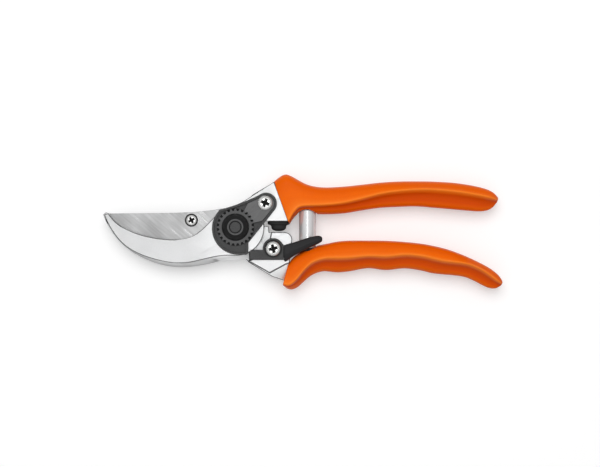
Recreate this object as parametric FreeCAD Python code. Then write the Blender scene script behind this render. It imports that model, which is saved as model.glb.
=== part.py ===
import FreeCAD, Part
import math
import os

# One-hand bypass pruning shears, lying flat and locked shut.
# Millimetres. The pivot axis is Z through the origin, and z = 0 is the surface the shears lie on.
# -X points along the jaws, +X along the handles, and +Y is the side of the palm handle.
# "Upper" pieces ride on the palm handle, whose jaw is the hook.
# "Lower" pieces ride on the finger handle, whose jaw is the cutting blade.

V = FreeCAD.Vector

# ---------------------------------------------------------------- overall sizes
jaw_reach = 71.6            # pivot axis to the tip of the hook
grip_reach = 96.0           # straight run of both grips, from neck_end_x to the palm grip's end
neck_end_x = 45.4           # where the necks beside the spring end and the grips' run begins
finger_grip_extra = 2.8     # the finger grip ends this much later than the palm grip
grip_thickness = 18.0       # front to back, over the grips
grip_wall = 3.0             # sleeve thickness over the handle cores

# ---------------------------------------------------------------- thicknesses along the pivot
bolt_head_thickness = 2.2
rear_washer_thickness = 0.5
lower_head_thickness = 3.25
blade_thickness = 3.0
counter_blade_thickness = 2.5
upper_head_thickness = 3.45
lock_floor_thickness = 1.0
lock_rim_height = 1.2
catch_thickness = 2.0
screw_head_thickness = 1.15

# ---------------------------------------------------------------- clearances
running_gap = 0.05          # between faces that slide on each other
running_fit = 0.05          # radial, between a shaft and what turns on it
assembly_gap = 0.15         # between loose pieces of one body
thread_fit = 0.02           # radial, between a screw and its hole in the same body
sweep_gap = 0.9             # outside the circle that a turning edge sweeps

# ---------------------------------------------------------------- pivot
bolt_shank_radius = 4.0
bolt_head_radius = 7.5
bolt_flat_depth = 0.8       # how far each key flat is cut into the shank
bolt_thread_radius = 2.9
bush_wall = 1.2
nut_tooth_count = 24
nut_tip_radius = 10.0
nut_root_radius = 8.7
nut_flange_thickness = 1.4
nut_dome_radius = 7.1
nut_dome_height = 2.2
nut_top_radius = 4.2
nut_countersink = 0.7
bolt_end_drop = 0.1         # the bolt's end stays this far inside the nut's top

# ---------------------------------------------------------------- heads round the pivot
upper_head_radius = 15.4
lower_head_radius = 11.0
blade_head_radius = 11.3
counter_head_radius = 11.2
pad_relief_radius = 18.65 + sweep_gap
core_relief_radius = 20.6
bumper_relief_radius = 18.1

# ---------------------------------------------------------------- lock plate and tooth segment
lock_big_centre = V(1.5, -0.7, 0)
lock_big_radius = 14.1
lock_small_centre = V(16.4, 12.7, 0)
lock_small_radius = 5.8
lock_flat_x = 6.9
lock_flat_top_y = -8.4
lock_corner_radius = 1.4
lock_rim_width = 1.3
segment_start_angle = 13.0
segment_end_angle = 63.0

# ---------------------------------------------------------------- screws
blade_screw_centre = V(-24.1, 3.8, 0)
blade_screw_head_radius = 3.0
blade_screw_radius = 1.9
blade_screw_sink = 0.5
arm_margin = 1.1            # metal of the blade's arm round the screw's head
segment_screw_centre = V(15.9, 13.0, 0)
segment_screw_head_radius = 4.0
segment_screw_radius = 2.0
catch_screw_centre = V(20.2, -11.5, 0)
catch_screw_head_radius = 4.0
catch_screw_radius = 2.4
catch_shoulder_radius = 2.9
counter_screw_radius = 1.3
counter_screw_head_radius = 2.3
counter_screw_head_depth = 1.1
counter_screw_bite = 1.5    # how far these screws reach into the forging
screw_tip_gap = 0.2         # left empty beyond the tip of a screw in a blind hole
screw_floor = 1.0           # metal left under the blind holes of the segment and catch screws
blade_screw_short = 0.3     # the blade screw's tip stops this far inside the arm's back face
cross_arm_length = 3.6
cross_arm_width = 0.75
cross_depth = 0.7

# ---------------------------------------------------------------- catch
catch_gap = 0.5             # nose of the catch to the flat of the lock plate, shut
catch_top_y = -12.2
catch_bottom_y = -17.6
catch_right_x = 25.9
catch_boss_radius = 5.6
catch_nose_radius = 1.4
catch_washer_thickness = 0.3
catch_washer_radius = 5.0
catch_tail_inset = 0.55
lever_thickness = 3.4

# ---------------------------------------------------------------- spring
spring_x = 38.45
spring_radius = 5.0
spring_wall = 1.7
spring_low_y = -11.3
spring_high_y = 9.4
spring_seat_thickness = 1.5
spring_seat_radius = spring_radius + 0.3
spring_pocket_gap = 0.5
seat_nub_radius = spring_radius - spring_wall - 0.6
seat_nub_length = 2.0
seat_stem_radius = 2.0
seat_stem_length = 4.0

# ---------------------------------------------------------------- bumper
bumper_left_x = 18.4
bumper_right_x = 26.5
bumper_bottom_y = -2.1
bumper_band_left_x = 16.3
bumper_band_right_x = 28.4
bumper_band_thickness = 1.9
bumper_width = 8.0
bumper_raise = 1.0          # its middle lies this far in front of the grips' middle
bumper_edge_radius = 1.2
bumper_band_margin = 1.0    # forging left behind the bumper's band
bumper_tongue_width = 3.0
bumper_tongue_depth = 2.0
upper_edge_y = 3.1          # lower edge of the palm handle's forging

# ---------------------------------------------------------------- heights above the resting plane
z_washer = bolt_head_thickness + running_gap
z_lower_head = z_washer + rear_washer_thickness
z_blade = z_lower_head + lower_head_thickness
z_shear = z_blade + blade_thickness
z_counter = z_shear + running_gap
z_upper_head = z_counter + counter_blade_thickness
z_front = z_upper_head + upper_head_thickness
z_lock_floor = z_front + lock_floor_thickness
z_lock_rim = z_lock_floor + lock_rim_height
z_nut_dome = z_lock_floor + nut_flange_thickness
z_nut_top = z_nut_dome + nut_dome_height
z_catch = z_front + catch_washer_thickness + running_gap
z_catch_top = z_catch + catch_thickness
z_core_low = z_lower_head + 0.4
z_step = z_front - 3.0      # the lower level of the finger handle's forging, beside its pad
z_middle = grip_thickness / 2 + 0.03   # the grips' swell stays above the resting plane


# ---------------------------------------------------------------- drawing helpers
def line_edges(points):
    """Straight edges through the points."""
    return [Part.makeLine(a, b) for a, b in zip(points, points[1:])]


def curve_edges(points):
    """One smooth curve through the points."""
    curve = Part.BSplineCurve()
    curve.interpolate(points)
    return [curve.toShape()]


def arc_edges(centre, radius, start, end, z=0.0):
    """Arc from the start angle to the end angle in degrees, anticlockwise when end > start."""
    def at(degrees):
        angle = math.radians(degrees)
        return V(centre.x + radius * math.cos(angle), centre.y + radius * math.sin(angle), z)
    return [Part.Arc(at(start), at((start + end) / 2), at(end)).toShape()]


def slab(edges, z_low, z_high):
    """Prism on a closed outline drawn at z = 0."""
    face = Part.Face(Part.Wire(Part.__sortEdges__(edges)))
    prism = face.extrude(V(0, 0, z_high - z_low))
    prism.translate(V(0, 0, z_low))
    return prism


def polygon(points, z_low, z_high):
    return slab(line_edges(points + points[:1]), z_low, z_high)


def cylinder(radius, z_low, z_high, centre=V(0, 0, 0)):
    return Part.makeCylinder(radius, z_high - z_low, V(centre.x, centre.y, z_low))


def box(x_low, x_high, y_low, y_high, z_low, z_high):
    return Part.makeBox(x_high - x_low, y_high - y_low, z_high - z_low, V(x_low, y_low, z_low))


def along_y(radius, y_low, y_high):
    """Cylinder on the spring's axis."""
    return Part.makeCylinder(radius, y_high - y_low, V(spring_x, y_low, z_middle), V(0, 1, 0))


def jaw(share, y):
    """Point on a jaw: share 0 is at the head round the pivot, share 1 is at the hook's tip."""
    return V(-upper_head_radius - share * (jaw_reach - upper_head_radius), y, 0)


def run(share, y, extra=0.0):
    """Point on a grip: share 0 is at the neck's end, share 1 is at the grip's end."""
    return V(neck_end_x + share * (grip_reach + extra), y, 0)


def angle_of(point, centre):
    return math.degrees(math.atan2(point.y - centre.y, point.x - centre.x))


def tangent_point(outside, centre, radius, side):
    """Where a line from the outside point touches a circle."""
    reach = outside - centre
    spread = math.degrees(math.acos(radius / reach.Length))
    angle = math.radians(angle_of(outside, centre) + side * spread)
    return V(centre.x + radius * math.cos(angle), centre.y + radius * math.sin(angle), 0)


def rounded_section(top, bottom, thickness, corner, inset):
    """Rounded rectangle standing on the line from bottom to top, centred on the grips' mid height."""
    up = (top - bottom).normalize()
    low = bottom + up * inset
    high = top - up * inset
    half = thickness / 2 - inset
    radius = min(corner, 0.42 * (high - low).Length, 0.84 * half)
    diagonal = radius * (1 - math.sqrt(0.5))

    def at(base, along, across):
        return base + up * along + V(0, 0, z_middle + across)

    edges = []
    for end, sense, side in ((low, 1, 1), (high, -1, 1), (high, -1, -1), (low, 1, -1)):
        beside = at(end, sense * radius, side * half)
        middle = at(end, sense * diagonal, side * (half - diagonal))
        below = at(end, 0, side * (half - radius))
        first, last = (below, beside) if sense == side else (beside, below)
        edges.append((first, middle, last))
    wire = []
    for number, (first, middle, last) in enumerate(edges):
        wire.append(Part.Arc(first, middle, last).toShape())
        wire.append(Part.makeLine(last, edges[(number + 1) % 4][0]))
    return Part.Wire(wire)


def sleeve(sections, inset=0.0, straight=False):
    """Solid through rounded sections given as (top, bottom, thickness, corner)."""
    wires = [rounded_section(*section, inset) for section in sections]
    return Part.makeLoft(wires, True, straight)


def toothed_disc(grow, z_low, z_high):
    """Ring of straight-sided teeth; grow moves every flank outwards."""
    points = []
    pitch = 2 * math.pi / nut_tooth_count
    for tooth in range(nut_tooth_count):
        for share, radius in ((0.05, nut_root_radius), (0.28, nut_tip_radius),
                              (0.52, nut_tip_radius), (0.75, nut_root_radius)):
            angle = (tooth + share) * pitch
            points.append(V((radius + grow) * math.cos(angle), (radius + grow) * math.sin(angle), 0))
    return polygon(points, z_low, z_high)


def screw(centre, head_radius, shank_radius, z_tip, z_head):
    """Pan-head screw with a cross recess; its head sits on z_head."""
    head = cylinder(head_radius, z_head, z_head + screw_head_thickness, centre)
    rim = [edge for edge in head.Edges if edge.BoundBox.ZMin > z_head + screw_head_thickness / 2]
    head = head.makeFillet(screw_head_thickness * 0.6, [rim[0]])
    body = head.fuse(cylinder(shank_radius, z_tip, z_head, centre))
    z_recess = z_head + screw_head_thickness - cross_depth
    for along_x, along_y_half in ((cross_arm_length, cross_arm_width), (cross_arm_width, cross_arm_length)):
        body = body.cut(box(centre.x - along_x / 2, centre.x + along_x / 2,
                            centre.y - along_y_half / 2, centre.y + along_y_half / 2,
                            z_recess, z_head + 2 * screw_head_thickness))
    return body


# ---------------------------------------------------------------- shared outlines
hook_tip_inner = jaw(0.945, 7.5)
hook_tip_top = jaw(0.972, 8.2)
hook_tip_outer = jaw(1.0, 6.9)
hook_inner = [hook_tip_inner, jaw(0.84, 1.1), jaw(0.62, -4.3), jaw(0.37, -6.6), jaw(0.15, -5.1),
              jaw(0.0, 1.4), V(-11.6, 5.4, 0)]
hook_outer = [hook_tip_outer, jaw(0.92, -1.9), jaw(0.79, -10.3), jaw(0.575, -17.6), jaw(0.31, -21.4),
              jaw(0.16, -21.3), V(-8.6, -18.2, 0)]
hook_heel = V(7.1, -17.2, 0)
support_outer = [jaw(0.985, 6.7), jaw(0.91, -1.8), jaw(0.79, -9.7), jaw(0.516, -17.1), jaw(0.22, -19.3),
                 V(-11.4, -16.0, 0), V(0, -upper_head_radius, 0)]
palm_collar_top = V(20.8, 24.5, 0)
palm_collar_bottom = V(28.6, upper_edge_y, 0)
palm_grip_heel = V(29.1, 1.6, 0)
finger_collar_top = V(28.9, -19.2, 0)
finger_collar_bottom = V(26.3, -28.9, 0)
finger_grip_heel = V(25.6, -31.6, 0)
stop_top_y = -2.7
stop_right_x = 30.4
stop_corner_radius = 4.0
core_lead = V(-5.0, 0, 0)    # how far the cores reach back into the heads

palm_sections = [
    (palm_collar_top + V(-0.1, 0.4, 0), palm_grip_heel, grip_thickness - 0.6, 5.0),
    (V(26.8, 28.6, 0), V(31.6, 5.4, 0), grip_thickness - 0.3, 5.5),
    (V(33.0, 26.0, 0), V(35.0, 7.7, 0), grip_thickness, 6.0),
    (run(-0.02, 21.7), run(-0.02, 6.9), grip_thickness, 6.0),
    (run(0.14, 22.0), run(0.14, 7.4), grip_thickness, 6.0),
    (run(0.34, 24.1), run(0.34, 10.4), grip_thickness, 6.0),
    (run(0.54, 24.7), run(0.54, 11.1), grip_thickness, 6.0),
    (run(0.74, 24.1), run(0.74, 9.6), grip_thickness - 0.4, 6.0),
    (run(0.88, 22.4), run(0.88, 8.5), grip_thickness - 1.6, 6.0),
    (run(0.965, 19.0), run(0.955, 9.4), grip_thickness - 4.0, 5.0),
    (run(1.0, 16.4), run(0.999, 13.2), grip_thickness - 11.0, 3.0),
]
extra = finger_grip_extra
finger_sections = [
    (finger_collar_top + V(0.1, 0.2, 0), finger_grip_heel, grip_thickness - 0.6, 5.0),
    (V(33.0, -15.9, 0), V(30.0, -33.7, 0), grip_thickness - 0.3, 5.5),
    (V(38.9, -11.6, 0), V(36.8, -29.4, 0), grip_thickness, 6.0),
    (run(0.035, -8.9, extra), run(0.02, -23.9, extra), grip_thickness, 6.0),
    (run(0.13, -7.2, extra), run(0.12, -24.5, extra), grip_thickness, 6.0),
    (run(0.25, -7.1, extra), run(0.26, -22.3, extra), grip_thickness, 6.0),
    (run(0.36, -7.3, extra), run(0.37, -23.3, extra), grip_thickness, 6.0),
    (run(0.47, -8.0, extra), run(0.465, -22.3, extra), grip_thickness, 6.0),
    (run(0.60, -10.1, extra), run(0.59, -24.4, extra), grip_thickness, 6.0),
    (run(0.72, -12.7, extra), run(0.70, -25.8, extra), grip_thickness - 0.4, 6.0),
    (run(0.83, -16.7, extra), run(0.80, -27.0, extra), grip_thickness - 0.8, 5.0),
    (run(0.92, -21.2, extra), run(0.90, -31.2, extra), grip_thickness - 2.6, 5.0),
    (run(0.975, -25.0, extra), run(0.955, -33.2, extra), grip_thickness - 5.0, 4.0),
    (run(1.0, -28.4, extra), run(0.997, -31.3, extra), grip_thickness - 11.0, 3.0),
]


def core(sections, last, bottom_lead):
    """Handle core: the grip's own sections, one grip wall in, begun inside the forging's head."""
    top, bottom, thickness, corner = sections[0]
    first = (top + core_lead, bottom + bottom_lead, thickness, corner)
    return sleeve([first] + sections[:last], grip_wall, straight=True)


def lock_outline():
    """Teardrop with a straight flat for the catch, drawn anticlockwise from the flat's top."""
    flat_top = V(lock_flat_x, lock_flat_top_y, 0)
    touch = tangent_point(flat_top, lock_small_centre, lock_small_radius, 1)
    rise_end = lock_small_centre + V(-3.5, 4.6, 0).normalize() * lock_small_radius
    rise_start = lock_big_centre + V(-9.8, 10.1, 0).normalize() * lock_big_radius
    rise_middle = (rise_start + rise_end) * 0.5 + V(0.25, -0.55, 0)
    bottom_y = lock_big_centre.y - lock_big_radius
    corner = lock_corner_radius
    edges = line_edges([flat_top, touch])
    edges += arc_edges(lock_small_centre, lock_small_radius, angle_of(touch, lock_small_centre),
                       angle_of(rise_end, lock_small_centre))
    edges.append(Part.Arc(rise_end, rise_middle, rise_start).toShape())
    edges += arc_edges(lock_big_centre, lock_big_radius, angle_of(rise_start, lock_big_centre), 270)
    edges += line_edges([V(lock_big_centre.x, bottom_y, 0), V(lock_flat_x - corner, bottom_y, 0)])
    edges += arc_edges(V(lock_flat_x - corner, bottom_y + corner, 0), corner, -90, 0)
    edges += line_edges([V(lock_flat_x, bottom_y + corner, 0), flat_top])
    return edges


def inset_slab(edges, inset, z_low, z_high):
    """Prism on an outline moved inwards."""
    wire = Part.Wire(Part.__sortEdges__(edges)).makeOffset2D(-inset)
    prism = Part.Face(wire).extrude(V(0, 0, z_high - z_low))
    prism.translate(V(0, 0, z_low))
    return prism


# ---------------------------------------------------------------- pivot pieces
def pivot_bolt():
    """Flat head at the back, round shank, two key flats and a thread for the nut."""
    head = cylinder(bolt_head_radius, 0, bolt_head_thickness)
    rim = [edge for edge in head.Edges if edge.BoundBox.ZMax < bolt_head_thickness / 2]
    head = head.makeChamfer(bolt_head_thickness * 0.25, [rim[0]])
    shank = cylinder(bolt_shank_radius, bolt_head_thickness, z_upper_head)
    key = cylinder(bolt_shank_radius, z_upper_head, z_lock_floor)
    key = key.common(key_block(0, z_upper_head, z_lock_floor))
    thread = cylinder(bolt_thread_radius, z_lock_floor, z_nut_top - bolt_end_drop)
    return head.fuse([shank, key, thread])


def key_block(clearance, z_low, z_high):
    """Block as wide as the bolt across its flats."""
    half_width = bolt_shank_radius - bolt_flat_depth + clearance
    reach = 2 * bolt_shank_radius
    return box(-reach, reach, -half_width, half_width, z_low, z_high)


def key_hole(z_low, z_high):
    """Hole that a keyed piece has for the bolt."""
    hole = cylinder(bolt_shank_radius + thread_fit, z_low, z_high)
    return hole.common(key_block(thread_fit, z_low, z_high))


def rear_washer():
    ring = cylinder(bolt_head_radius, z_washer, z_lower_head)
    return ring.cut(cylinder(bolt_shank_radius + running_fit, z_washer, z_lower_head))


def pivot_bush():
    outer = bolt_shank_radius + running_fit + bush_wall
    ring = cylinder(outer, z_lower_head, z_shear)
    return ring.cut(cylinder(bolt_shank_radius + running_fit, z_lower_head, z_shear))


def bush_hole(z_low, z_high):
    return cylinder(bolt_shank_radius + running_fit + bush_wall, z_low, z_high)


def toothed_nut():
    """Toothed flange under a domed boss."""
    flange = toothed_disc(0, z_lock_floor, z_nut_dome)
    shoulder = 0.25 * nut_dome_height
    profile = line_edges([V(0, 0, z_nut_dome), V(nut_dome_radius, 0, z_nut_dome),
                          V(nut_dome_radius, 0, z_nut_dome + shoulder)])
    bulge = V((nut_dome_radius + nut_top_radius) / 2 + 0.5, 0, z_nut_dome + 0.8 * nut_dome_height)
    profile.append(Part.Arc(V(nut_dome_radius, 0, z_nut_dome + shoulder), bulge,
                            V(nut_top_radius, 0, z_nut_top)).toShape())
    profile += line_edges([V(nut_top_radius, 0, z_nut_top), V(0, 0, z_nut_top), V(0, 0, z_nut_dome)])
    dome = Part.Face(Part.Wire(profile)).revolve(V(0, 0, 0), V(0, 0, 1), 360)
    hole = cylinder(bolt_thread_radius + thread_fit, z_lock_floor, z_nut_top)
    countersink = Part.makeCone(bolt_thread_radius + thread_fit, bolt_thread_radius + nut_countersink,
                                nut_countersink, V(0, 0, z_nut_top - nut_countersink))
    return flange.fuse(dome).cut(hole).cut(countersink)


# ---------------------------------------------------------------- upper pieces
def support_outline():
    edges = curve_edges(hook_inner)
    edges += line_edges([hook_inner[-1], V(-8.8, 8.0, 0), V(3.6, 13.5, 0), palm_collar_top,
                         palm_collar_bottom])
    side_angle = math.degrees(math.asin(upper_edge_y / upper_head_radius))
    side = V(upper_head_radius * math.cos(math.radians(side_angle)), upper_edge_y, 0)
    edges += line_edges([palm_collar_bottom, side])
    edges += arc_edges(V(0, 0, 0), upper_head_radius, side_angle, -90)
    edges += curve_edges(support_outer[::-1])
    edges += line_edges([support_outer[0], hook_tip_inner])
    return edges


def upper_handle_forging():
    """Head with the hook's support, thick neck and core of the palm handle."""
    head = slab(support_outline(), z_upper_head, z_front)
    taper_start = -upper_head_radius
    taper_drop = 0.6 * upper_head_thickness
    side = -jaw_reach          # any plane beside the whole jaw
    wedge = Part.makePolygon([V(taper_start, side, z_front), V(-jaw_reach, side, z_front - taper_drop),
                              V(-2 * jaw_reach, side, z_front - taper_drop),
                              V(-2 * jaw_reach, side, 2 * z_front), V(taper_start, side, 2 * z_front),
                              V(taper_start, side, z_front)])
    head = head.cut(Part.Face(wedge).extrude(V(0, 2 * jaw_reach, 0)))
    neck = polygon([V(8.0, 16.3, 0), palm_collar_top, palm_collar_bottom, V(14.0, upper_edge_y, 0)],
                   z_core_low, z_upper_head)
    neck = neck.cut(cylinder(core_relief_radius, z_core_low, z_upper_head))
    body = head.fuse([neck, core(palm_sections, 9, core_lead)])
    body = body.cut(key_hole(z_upper_head, z_front))
    body = body.cut(cylinder(segment_screw_radius + thread_fit, z_upper_head + screw_floor - screw_tip_gap,
                             z_front, segment_screw_centre))
    for centre in counter_screw_centres():
        body = body.cut(cylinder(counter_screw_radius + thread_fit, z_upper_head,
                                 z_upper_head + counter_screw_bite + screw_tip_gap, centre))
    body = body.cut(bumper_tongue(assembly_gap))
    body = body.cut(along_y(spring_seat_radius + assembly_gap, 0, spring_high_y + spring_seat_thickness))
    return body.cut(along_y(seat_stem_radius + thread_fit, spring_high_y, stem_top()))


def stem_top():
    return spring_high_y + spring_seat_thickness + seat_stem_length


def stem_bottom():
    return spring_low_y - spring_seat_thickness - seat_stem_length


def upper_grip(forging):
    grip = sleeve(palm_sections).cut(forging)
    pocket = along_y(spring_seat_radius + spring_pocket_gap, 0, spring_high_y + spring_seat_thickness)
    return grip.cut(pocket).cut(along_y(seat_stem_radius + thread_fit, spring_high_y, stem_top()))


def counter_screw_centres():
    """Two countersunk screws in the middle of the hook's width."""
    return [jaw(0.12, -13.0), jaw(0.52, -11.4)]


def counter_blade():
    """Steel plate of the hook, with an eye round the pivot."""
    edges = curve_edges(hook_inner)
    edges += line_edges([hook_inner[-1], V(-4.0, 4.0, 0), V(hook_heel.x, -8.0, 0), hook_heel, hook_outer[-1]])
    edges += curve_edges(hook_outer[::-1])
    edges += line_edges([hook_tip_outer, hook_tip_top, hook_tip_inner])
    plate = slab(edges, z_counter, z_upper_head)
    plate = plate.fuse(cylinder(counter_head_radius, z_counter, z_upper_head))
    plate = plate.cut(cylinder(bolt_shank_radius + thread_fit, z_counter, z_upper_head))
    for centre in counter_screw_centres():
        plate = plate.cut(counter_screw(centre, thread_fit))
    return plate


def counter_screw(centre, clearance=0.0):
    """Countersunk head flush with the shearing face, shank up into the forging."""
    head = Part.makeCone(counter_screw_head_radius + clearance, counter_screw_radius + clearance,
                         counter_screw_head_depth, V(centre.x, centre.y, z_counter))
    return head.fuse(cylinder(counter_screw_radius + clearance, z_counter,
                              z_upper_head + counter_screw_bite, centre))


def counter_blade_screws():
    return Part.makeCompound([counter_screw(centre) for centre in counter_screw_centres()])


def lock_plate():
    """Teardrop plate with a raised rim round the recess that holds the nut and the segment."""
    plate = slab(lock_outline(), z_front, z_lock_rim)
    plate = plate.cut(inset_slab(lock_outline(), lock_rim_width, z_lock_floor, z_lock_rim))
    plate = plate.cut(cylinder(nut_tip_radius + assembly_gap, z_lock_floor, z_lock_rim))
    plate = plate.cut(key_hole(z_front, z_lock_rim))
    return plate.cut(cylinder(segment_screw_radius + thread_fit, z_front, z_lock_rim, segment_screw_centre))


def tooth_segment():
    """Fills the recess beyond the nut and meshes with its teeth."""
    reach = 40.0
    wedge = [V(0, 0, 0)]
    for degrees in (segment_start_angle, segment_end_angle):
        angle = math.radians(degrees)
        wedge.append(V(reach * math.cos(angle), reach * math.sin(angle), 0))
    segment = inset_slab(lock_outline(), lock_rim_width + assembly_gap, z_lock_floor, z_lock_rim)
    segment = segment.common(polygon(wedge, z_lock_floor, z_lock_rim))
    segment = segment.cut(toothed_disc(assembly_gap, z_lock_floor, z_lock_rim))
    return segment.cut(cylinder(segment_screw_radius + thread_fit, z_lock_floor, z_lock_rim,
                                segment_screw_centre))


def bumper_tongue(clearance):
    """Tongue that holds the bumper in a slot of the forging."""
    middle = (bumper_left_x + bumper_right_x) / 2
    return box(bumper_left_x + 1 - clearance, middle + 3 + clearance, upper_edge_y - 0.5,
               upper_edge_y + bumper_tongue_depth + clearance,
               z_middle - bumper_tongue_width / 2 - clearance, z_middle + bumper_tongue_width / 2 + clearance)


def bumper():
    """Rubber stop between the two forgings."""
    z_low = z_middle + bumper_raise - bumper_width / 2
    z_high = z_low + bumper_width
    band = box(bumper_band_left_x, bumper_band_right_x, upper_edge_y - bumper_band_thickness, upper_edge_y,
               z_core_low + bumper_band_margin, z_front - bumper_band_margin / 2)
    band = band.cut(cylinder(bumper_relief_radius, 0, z_front))
    block = box(bumper_left_x, bumper_right_x, bumper_bottom_y, upper_edge_y - bumper_band_thickness,
                z_low, z_high)
    lowest = [edge for edge in block.Edges if edge.BoundBox.YMax < bumper_bottom_y + 0.1]
    block = block.makeFillet(bumper_edge_radius, lowest)
    return band.fuse([block, bumper_tongue(0)])


def upper_spring_seat():
    plate = along_y(spring_seat_radius, spring_high_y, spring_high_y + spring_seat_thickness)
    nub = along_y(seat_nub_radius, spring_high_y - seat_nub_length, spring_high_y)
    stem = along_y(seat_stem_radius, spring_high_y + spring_seat_thickness, stem_top())
    return plate.fuse([nub, stem])


def volute_spring():
    """Closed tube in place of the rolled flat strip."""
    tube = along_y(spring_radius, spring_low_y + running_gap, spring_high_y)
    return tube.cut(along_y(spring_radius - spring_wall, spring_low_y, spring_high_y))


# ---------------------------------------------------------------- lower pieces
def finger_outline():
    """Whole right-hand part of the finger handle's forging, from the pivot to the collar."""
    corner = V(stop_right_x - stop_corner_radius, stop_top_y - stop_corner_radius, 0)
    edges = line_edges([V(-2.0, -10.0, 0), V(7.1, -19.1, 0), V(19.4, -26.6, 0), finger_collar_bottom,
                        finger_collar_top, V(stop_right_x, corner.y, 0)])
    edges += arc_edges(corner, stop_corner_radius, 0, 90)
    edges += line_edges([V(corner.x, stop_top_y, 0), V(17.9, stop_top_y, 0), V(17.6, 0.6, 0),
                         V(14.0, 0.6, 0), V(4.0, 9.5, 0), V(-2.0, -10.0, 0)])
    return edges


def pad_outline():
    """Raised part that carries the catch."""
    corner = V(stop_right_x - stop_corner_radius, stop_top_y - stop_corner_radius, 0)
    edges = line_edges([V(6.9, -18.0, 0), V(18.4, -24.5, 0), V(26.8, -19.9, 0), finger_collar_top,
                        V(stop_right_x, corner.y, 0)])
    edges += arc_edges(corner, stop_corner_radius, 0, 90)
    edges += line_edges([V(corner.x, stop_top_y, 0), V(14.0, stop_top_y, 0), V(6.9, -18.0, 0)])
    return edges


def lower_handle_forging():
    """Arm behind the blade, head round the pivot, catch pad and core of the finger handle."""
    arm_radius = blade_screw_head_radius + arm_margin
    arm_start = tangent_side(1, arm_radius)
    arm_end = tangent_side(-1, arm_radius)
    base = slab(finger_outline(), z_lower_head, z_blade)
    base = base.fuse([cylinder(lower_head_radius, z_lower_head, z_blade),
                      cylinder(arm_radius, z_lower_head, z_blade, blade_screw_centre),
                      polygon(arm_start + arm_end[::-1], z_lower_head, z_blade)])
    middle = slab(finger_outline(), z_blade, z_shear - running_gap)
    middle = middle.cut(cylinder(blade_head_radius + assembly_gap, z_blade, z_shear))
    step = slab(finger_outline(), z_shear - running_gap, z_step)
    pad = slab(pad_outline(), z_step, z_front)
    relief = cylinder(pad_relief_radius, z_shear - running_gap, z_front)
    left_x = stop_right_x - 2 * stop_corner_radius
    beside_pad = polygon([finger_collar_top, finger_grip_heel, V(left_x, finger_grip_heel.y, 0),
                          V(left_x, finger_collar_top.y, 0)], z_step, z_front)
    handle_core = core(finger_sections, 12, V(-3.0, 5.5, 0)).cut(beside_pad)
    body = base.fuse([middle, step.cut(relief), pad.cut(relief), handle_core])
    body = body.cut(bush_hole(z_lower_head, z_blade))
    body = body.cut(cylinder(blade_screw_radius + thread_fit, z_lower_head, z_blade, blade_screw_centre))
    body = body.cut(cylinder(catch_screw_radius + thread_fit, z_lower_head + screw_floor, z_front,
                             catch_screw_centre))
    return body.cut(along_y(seat_stem_radius + thread_fit, stem_bottom(), spring_low_y))


def tangent_side(side, arm_radius):
    """Line that touches the head's circle and the arm's end circle on one side."""
    reach = blade_screw_centre.Length
    spread = math.degrees(math.acos((lower_head_radius - arm_radius) / reach))
    angle = math.radians(angle_of(blade_screw_centre, V(0, 0, 0)) - side * spread)
    normal = V(math.cos(angle), math.sin(angle), 0)
    return [normal * lower_head_radius, blade_screw_centre + normal * arm_radius]


def lower_grip(forging):
    grip = sleeve(finger_sections).cut(forging)
    pocket = along_y(spring_seat_radius + spring_pocket_gap, spring_low_y - spring_seat_thickness, 0)
    return grip.cut(pocket).cut(along_y(seat_stem_radius + thread_fit, stem_bottom(), spring_low_y))


def cutting_blade():
    """Blade with a curved edge that passes behind the hook."""
    back_end = V(-4.6, 10.3, 0)
    back = [jaw(0.96, 7.3), jaw(0.93, 7.7), jaw(0.52, 7.6), jaw(0.26, 7.9), jaw(0.08, 8.6), back_end]
    edge = [jaw(0.96, 7.3), jaw(0.87, 0.4), jaw(0.68, -7.4), jaw(0.42, -12.4), jaw(0.14, -13.6),
            V(-9.0, -12.0, 0), V(0, -blade_head_radius, 0)]
    edges = curve_edges(back) + curve_edges(edge) + line_edges([edge[-1], V(0, 0, 0), back_end])
    blade = slab(edges, z_blade, z_shear).fuse(cylinder(blade_head_radius, z_blade, z_shear))
    blade = blade.cut(bush_hole(z_blade, z_shear))
    blade = blade.cut(cylinder(blade_screw_radius + thread_fit, z_blade, z_shear, blade_screw_centre))
    return blade.cut(cylinder(blade_screw_head_radius + assembly_gap, z_shear - blade_screw_sink, z_shear,
                              blade_screw_centre))


def lower_spring_seat():
    plate = along_y(spring_seat_radius, spring_low_y - spring_seat_thickness, spring_low_y)
    nub = along_y(seat_nub_radius, spring_low_y, spring_low_y + seat_nub_length)
    stem = along_y(seat_stem_radius, stem_bottom(), spring_low_y - spring_seat_thickness)
    return plate.fuse([nub, stem])


def catch_screw():
    """Shoulder screw: the catch turns on its shoulder."""
    body = screw(catch_screw_centre, catch_screw_head_radius, catch_screw_radius,
                 z_lower_head + screw_floor + screw_tip_gap, z_catch_top + running_gap)
    return body.fuse(cylinder(catch_shoulder_radius, z_front, z_catch_top + running_gap, catch_screw_centre))


def catch_washer():
    ring = cylinder(catch_washer_radius, z_front, z_front + catch_washer_thickness, catch_screw_centre)
    return ring.cut(cylinder(catch_shoulder_radius + thread_fit, z_front, z_catch, catch_screw_centre))


# ---------------------------------------------------------------- catch
def catch_tail(clearance):
    """Tail of the catch plate, inside the thumb lever."""
    return polygon([V(catch_right_x - 0.5, -11.2 + clearance, 0), V(37.0 + clearance, -7.9 + clearance, 0),
                    V(37.0 + clearance, -9.9 - clearance, 0), V(catch_right_x - 0.5, -16.4 - clearance, 0)],
                   z_catch + catch_tail_inset - clearance, z_catch_top - catch_tail_inset + clearance)


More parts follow.
